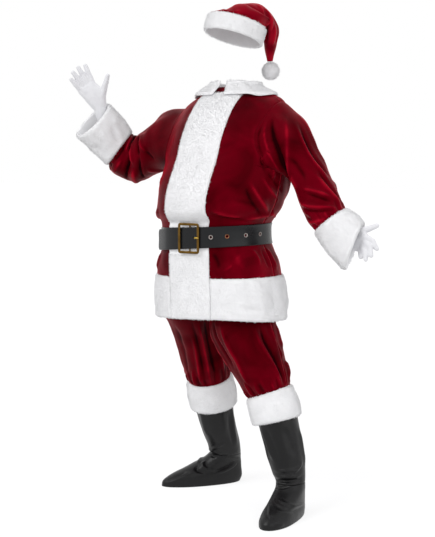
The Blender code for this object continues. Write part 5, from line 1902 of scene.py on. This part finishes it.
def skin_over(groups):
    """Closed hulls, one round each group of balls, in one mesh."""
    whole = bmesh.new()
    for balls in groups:
        hull = bmesh.new()
        for ball in balls:
            place = Matrix.Translation(Vector(ball[:3]) - Vector(HELD_AT))
            bmesh.ops.create_icosphere(
                hull, subdivisions=3, radius=ball.radius - COTTON / 4, matrix=place
            )
        bmesh.ops.delete(hull, geom=hull.edges[:] + hull.faces[:], context="EDGES_FACES")
        made = bmesh.ops.convex_hull(hull, input=hull.verts)
        loose = list(set(made["geom_interior"] + made["geom_unused"]))
        bmesh.ops.delete(hull, geom=loose, context="VERTS")
        bmesh.ops.recalc_face_normals(hull, faces=hull.faces)
        part = bpy.data.meshes.new("part")
        hull.to_mesh(part)
        hull.free()
        whole.from_mesh(part)
        bpy.data.meshes.remove(part)
    mesh = bpy.data.meshes.new("hand")
    whole.to_mesh(mesh)
    whole.free()
    return mesh


def evaluated_mesh(obj):
    """The object's mesh with its modifiers applied. The object itself is removed."""
    mesh = bpy.data.meshes.new_from_object(obj.evaluated_get(bpy.context.evaluated_depsgraph_get()))
    bpy.data.objects.remove(obj)
    return mesh


def worker(mesh):
    obj = bpy.data.objects.new("worker", mesh)
    bpy.context.scene.collection.objects.link(obj)
    return obj


for side, hand in (("left", LEFT_HAND), ("right", RIGHT_HAND)):
    obj = worker(skin_over(hand.values()))
    remesh = obj.modifiers.new("skin", "REMESH")
    remesh.mode = "VOXEL"
    remesh.voxel_size = GLOVE_VOXEL
    relax = obj.modifiers.new("relax", "SMOOTH")
    relax.factor = 0.6
    relax.iterations = 5
    shape = bmesh.new()
    shape.from_mesh(evaluated_mesh(obj))
    start, finish = hand["wrist"][0], hand["wrist"][1]
    wrist = Vector(start[:3]) - Vector(HELD_AT)
    inward = (Vector(finish[:3]) - Vector(start[:3])).normalized()
    bmesh.ops.bisect_plane(
        shape,
        geom=shape.verts[:] + shape.edges[:] + shape.faces[:],
        plane_co=wrist,
        plane_no=inward,
        clear_inner=True,
    )
    shape.normal_update()
    for vertex in shape.verts:
        away = (vertex.co - wrist).length
        rumple = noise.noise(vertex.co * 50.0) * 0.0009 + noise.noise(vertex.co * 110.0) * 0.0002
        vertex.co += vertex.normal * rumple * min(1.0, away / 0.02)
    mesh = bpy.data.meshes.new("glove")
    shape.to_mesh(mesh)
    shape.free()
    obj = worker(mesh)
    hollow = obj.modifiers.new("wall", "SOLIDIFY")
    hollow.thickness = COTTON
    hollow.offset = -1.0
    glove = plain_object(f"glove_{side}_knit", evaluated_mesh(obj), cotton)
    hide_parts(f"glove_{side}")
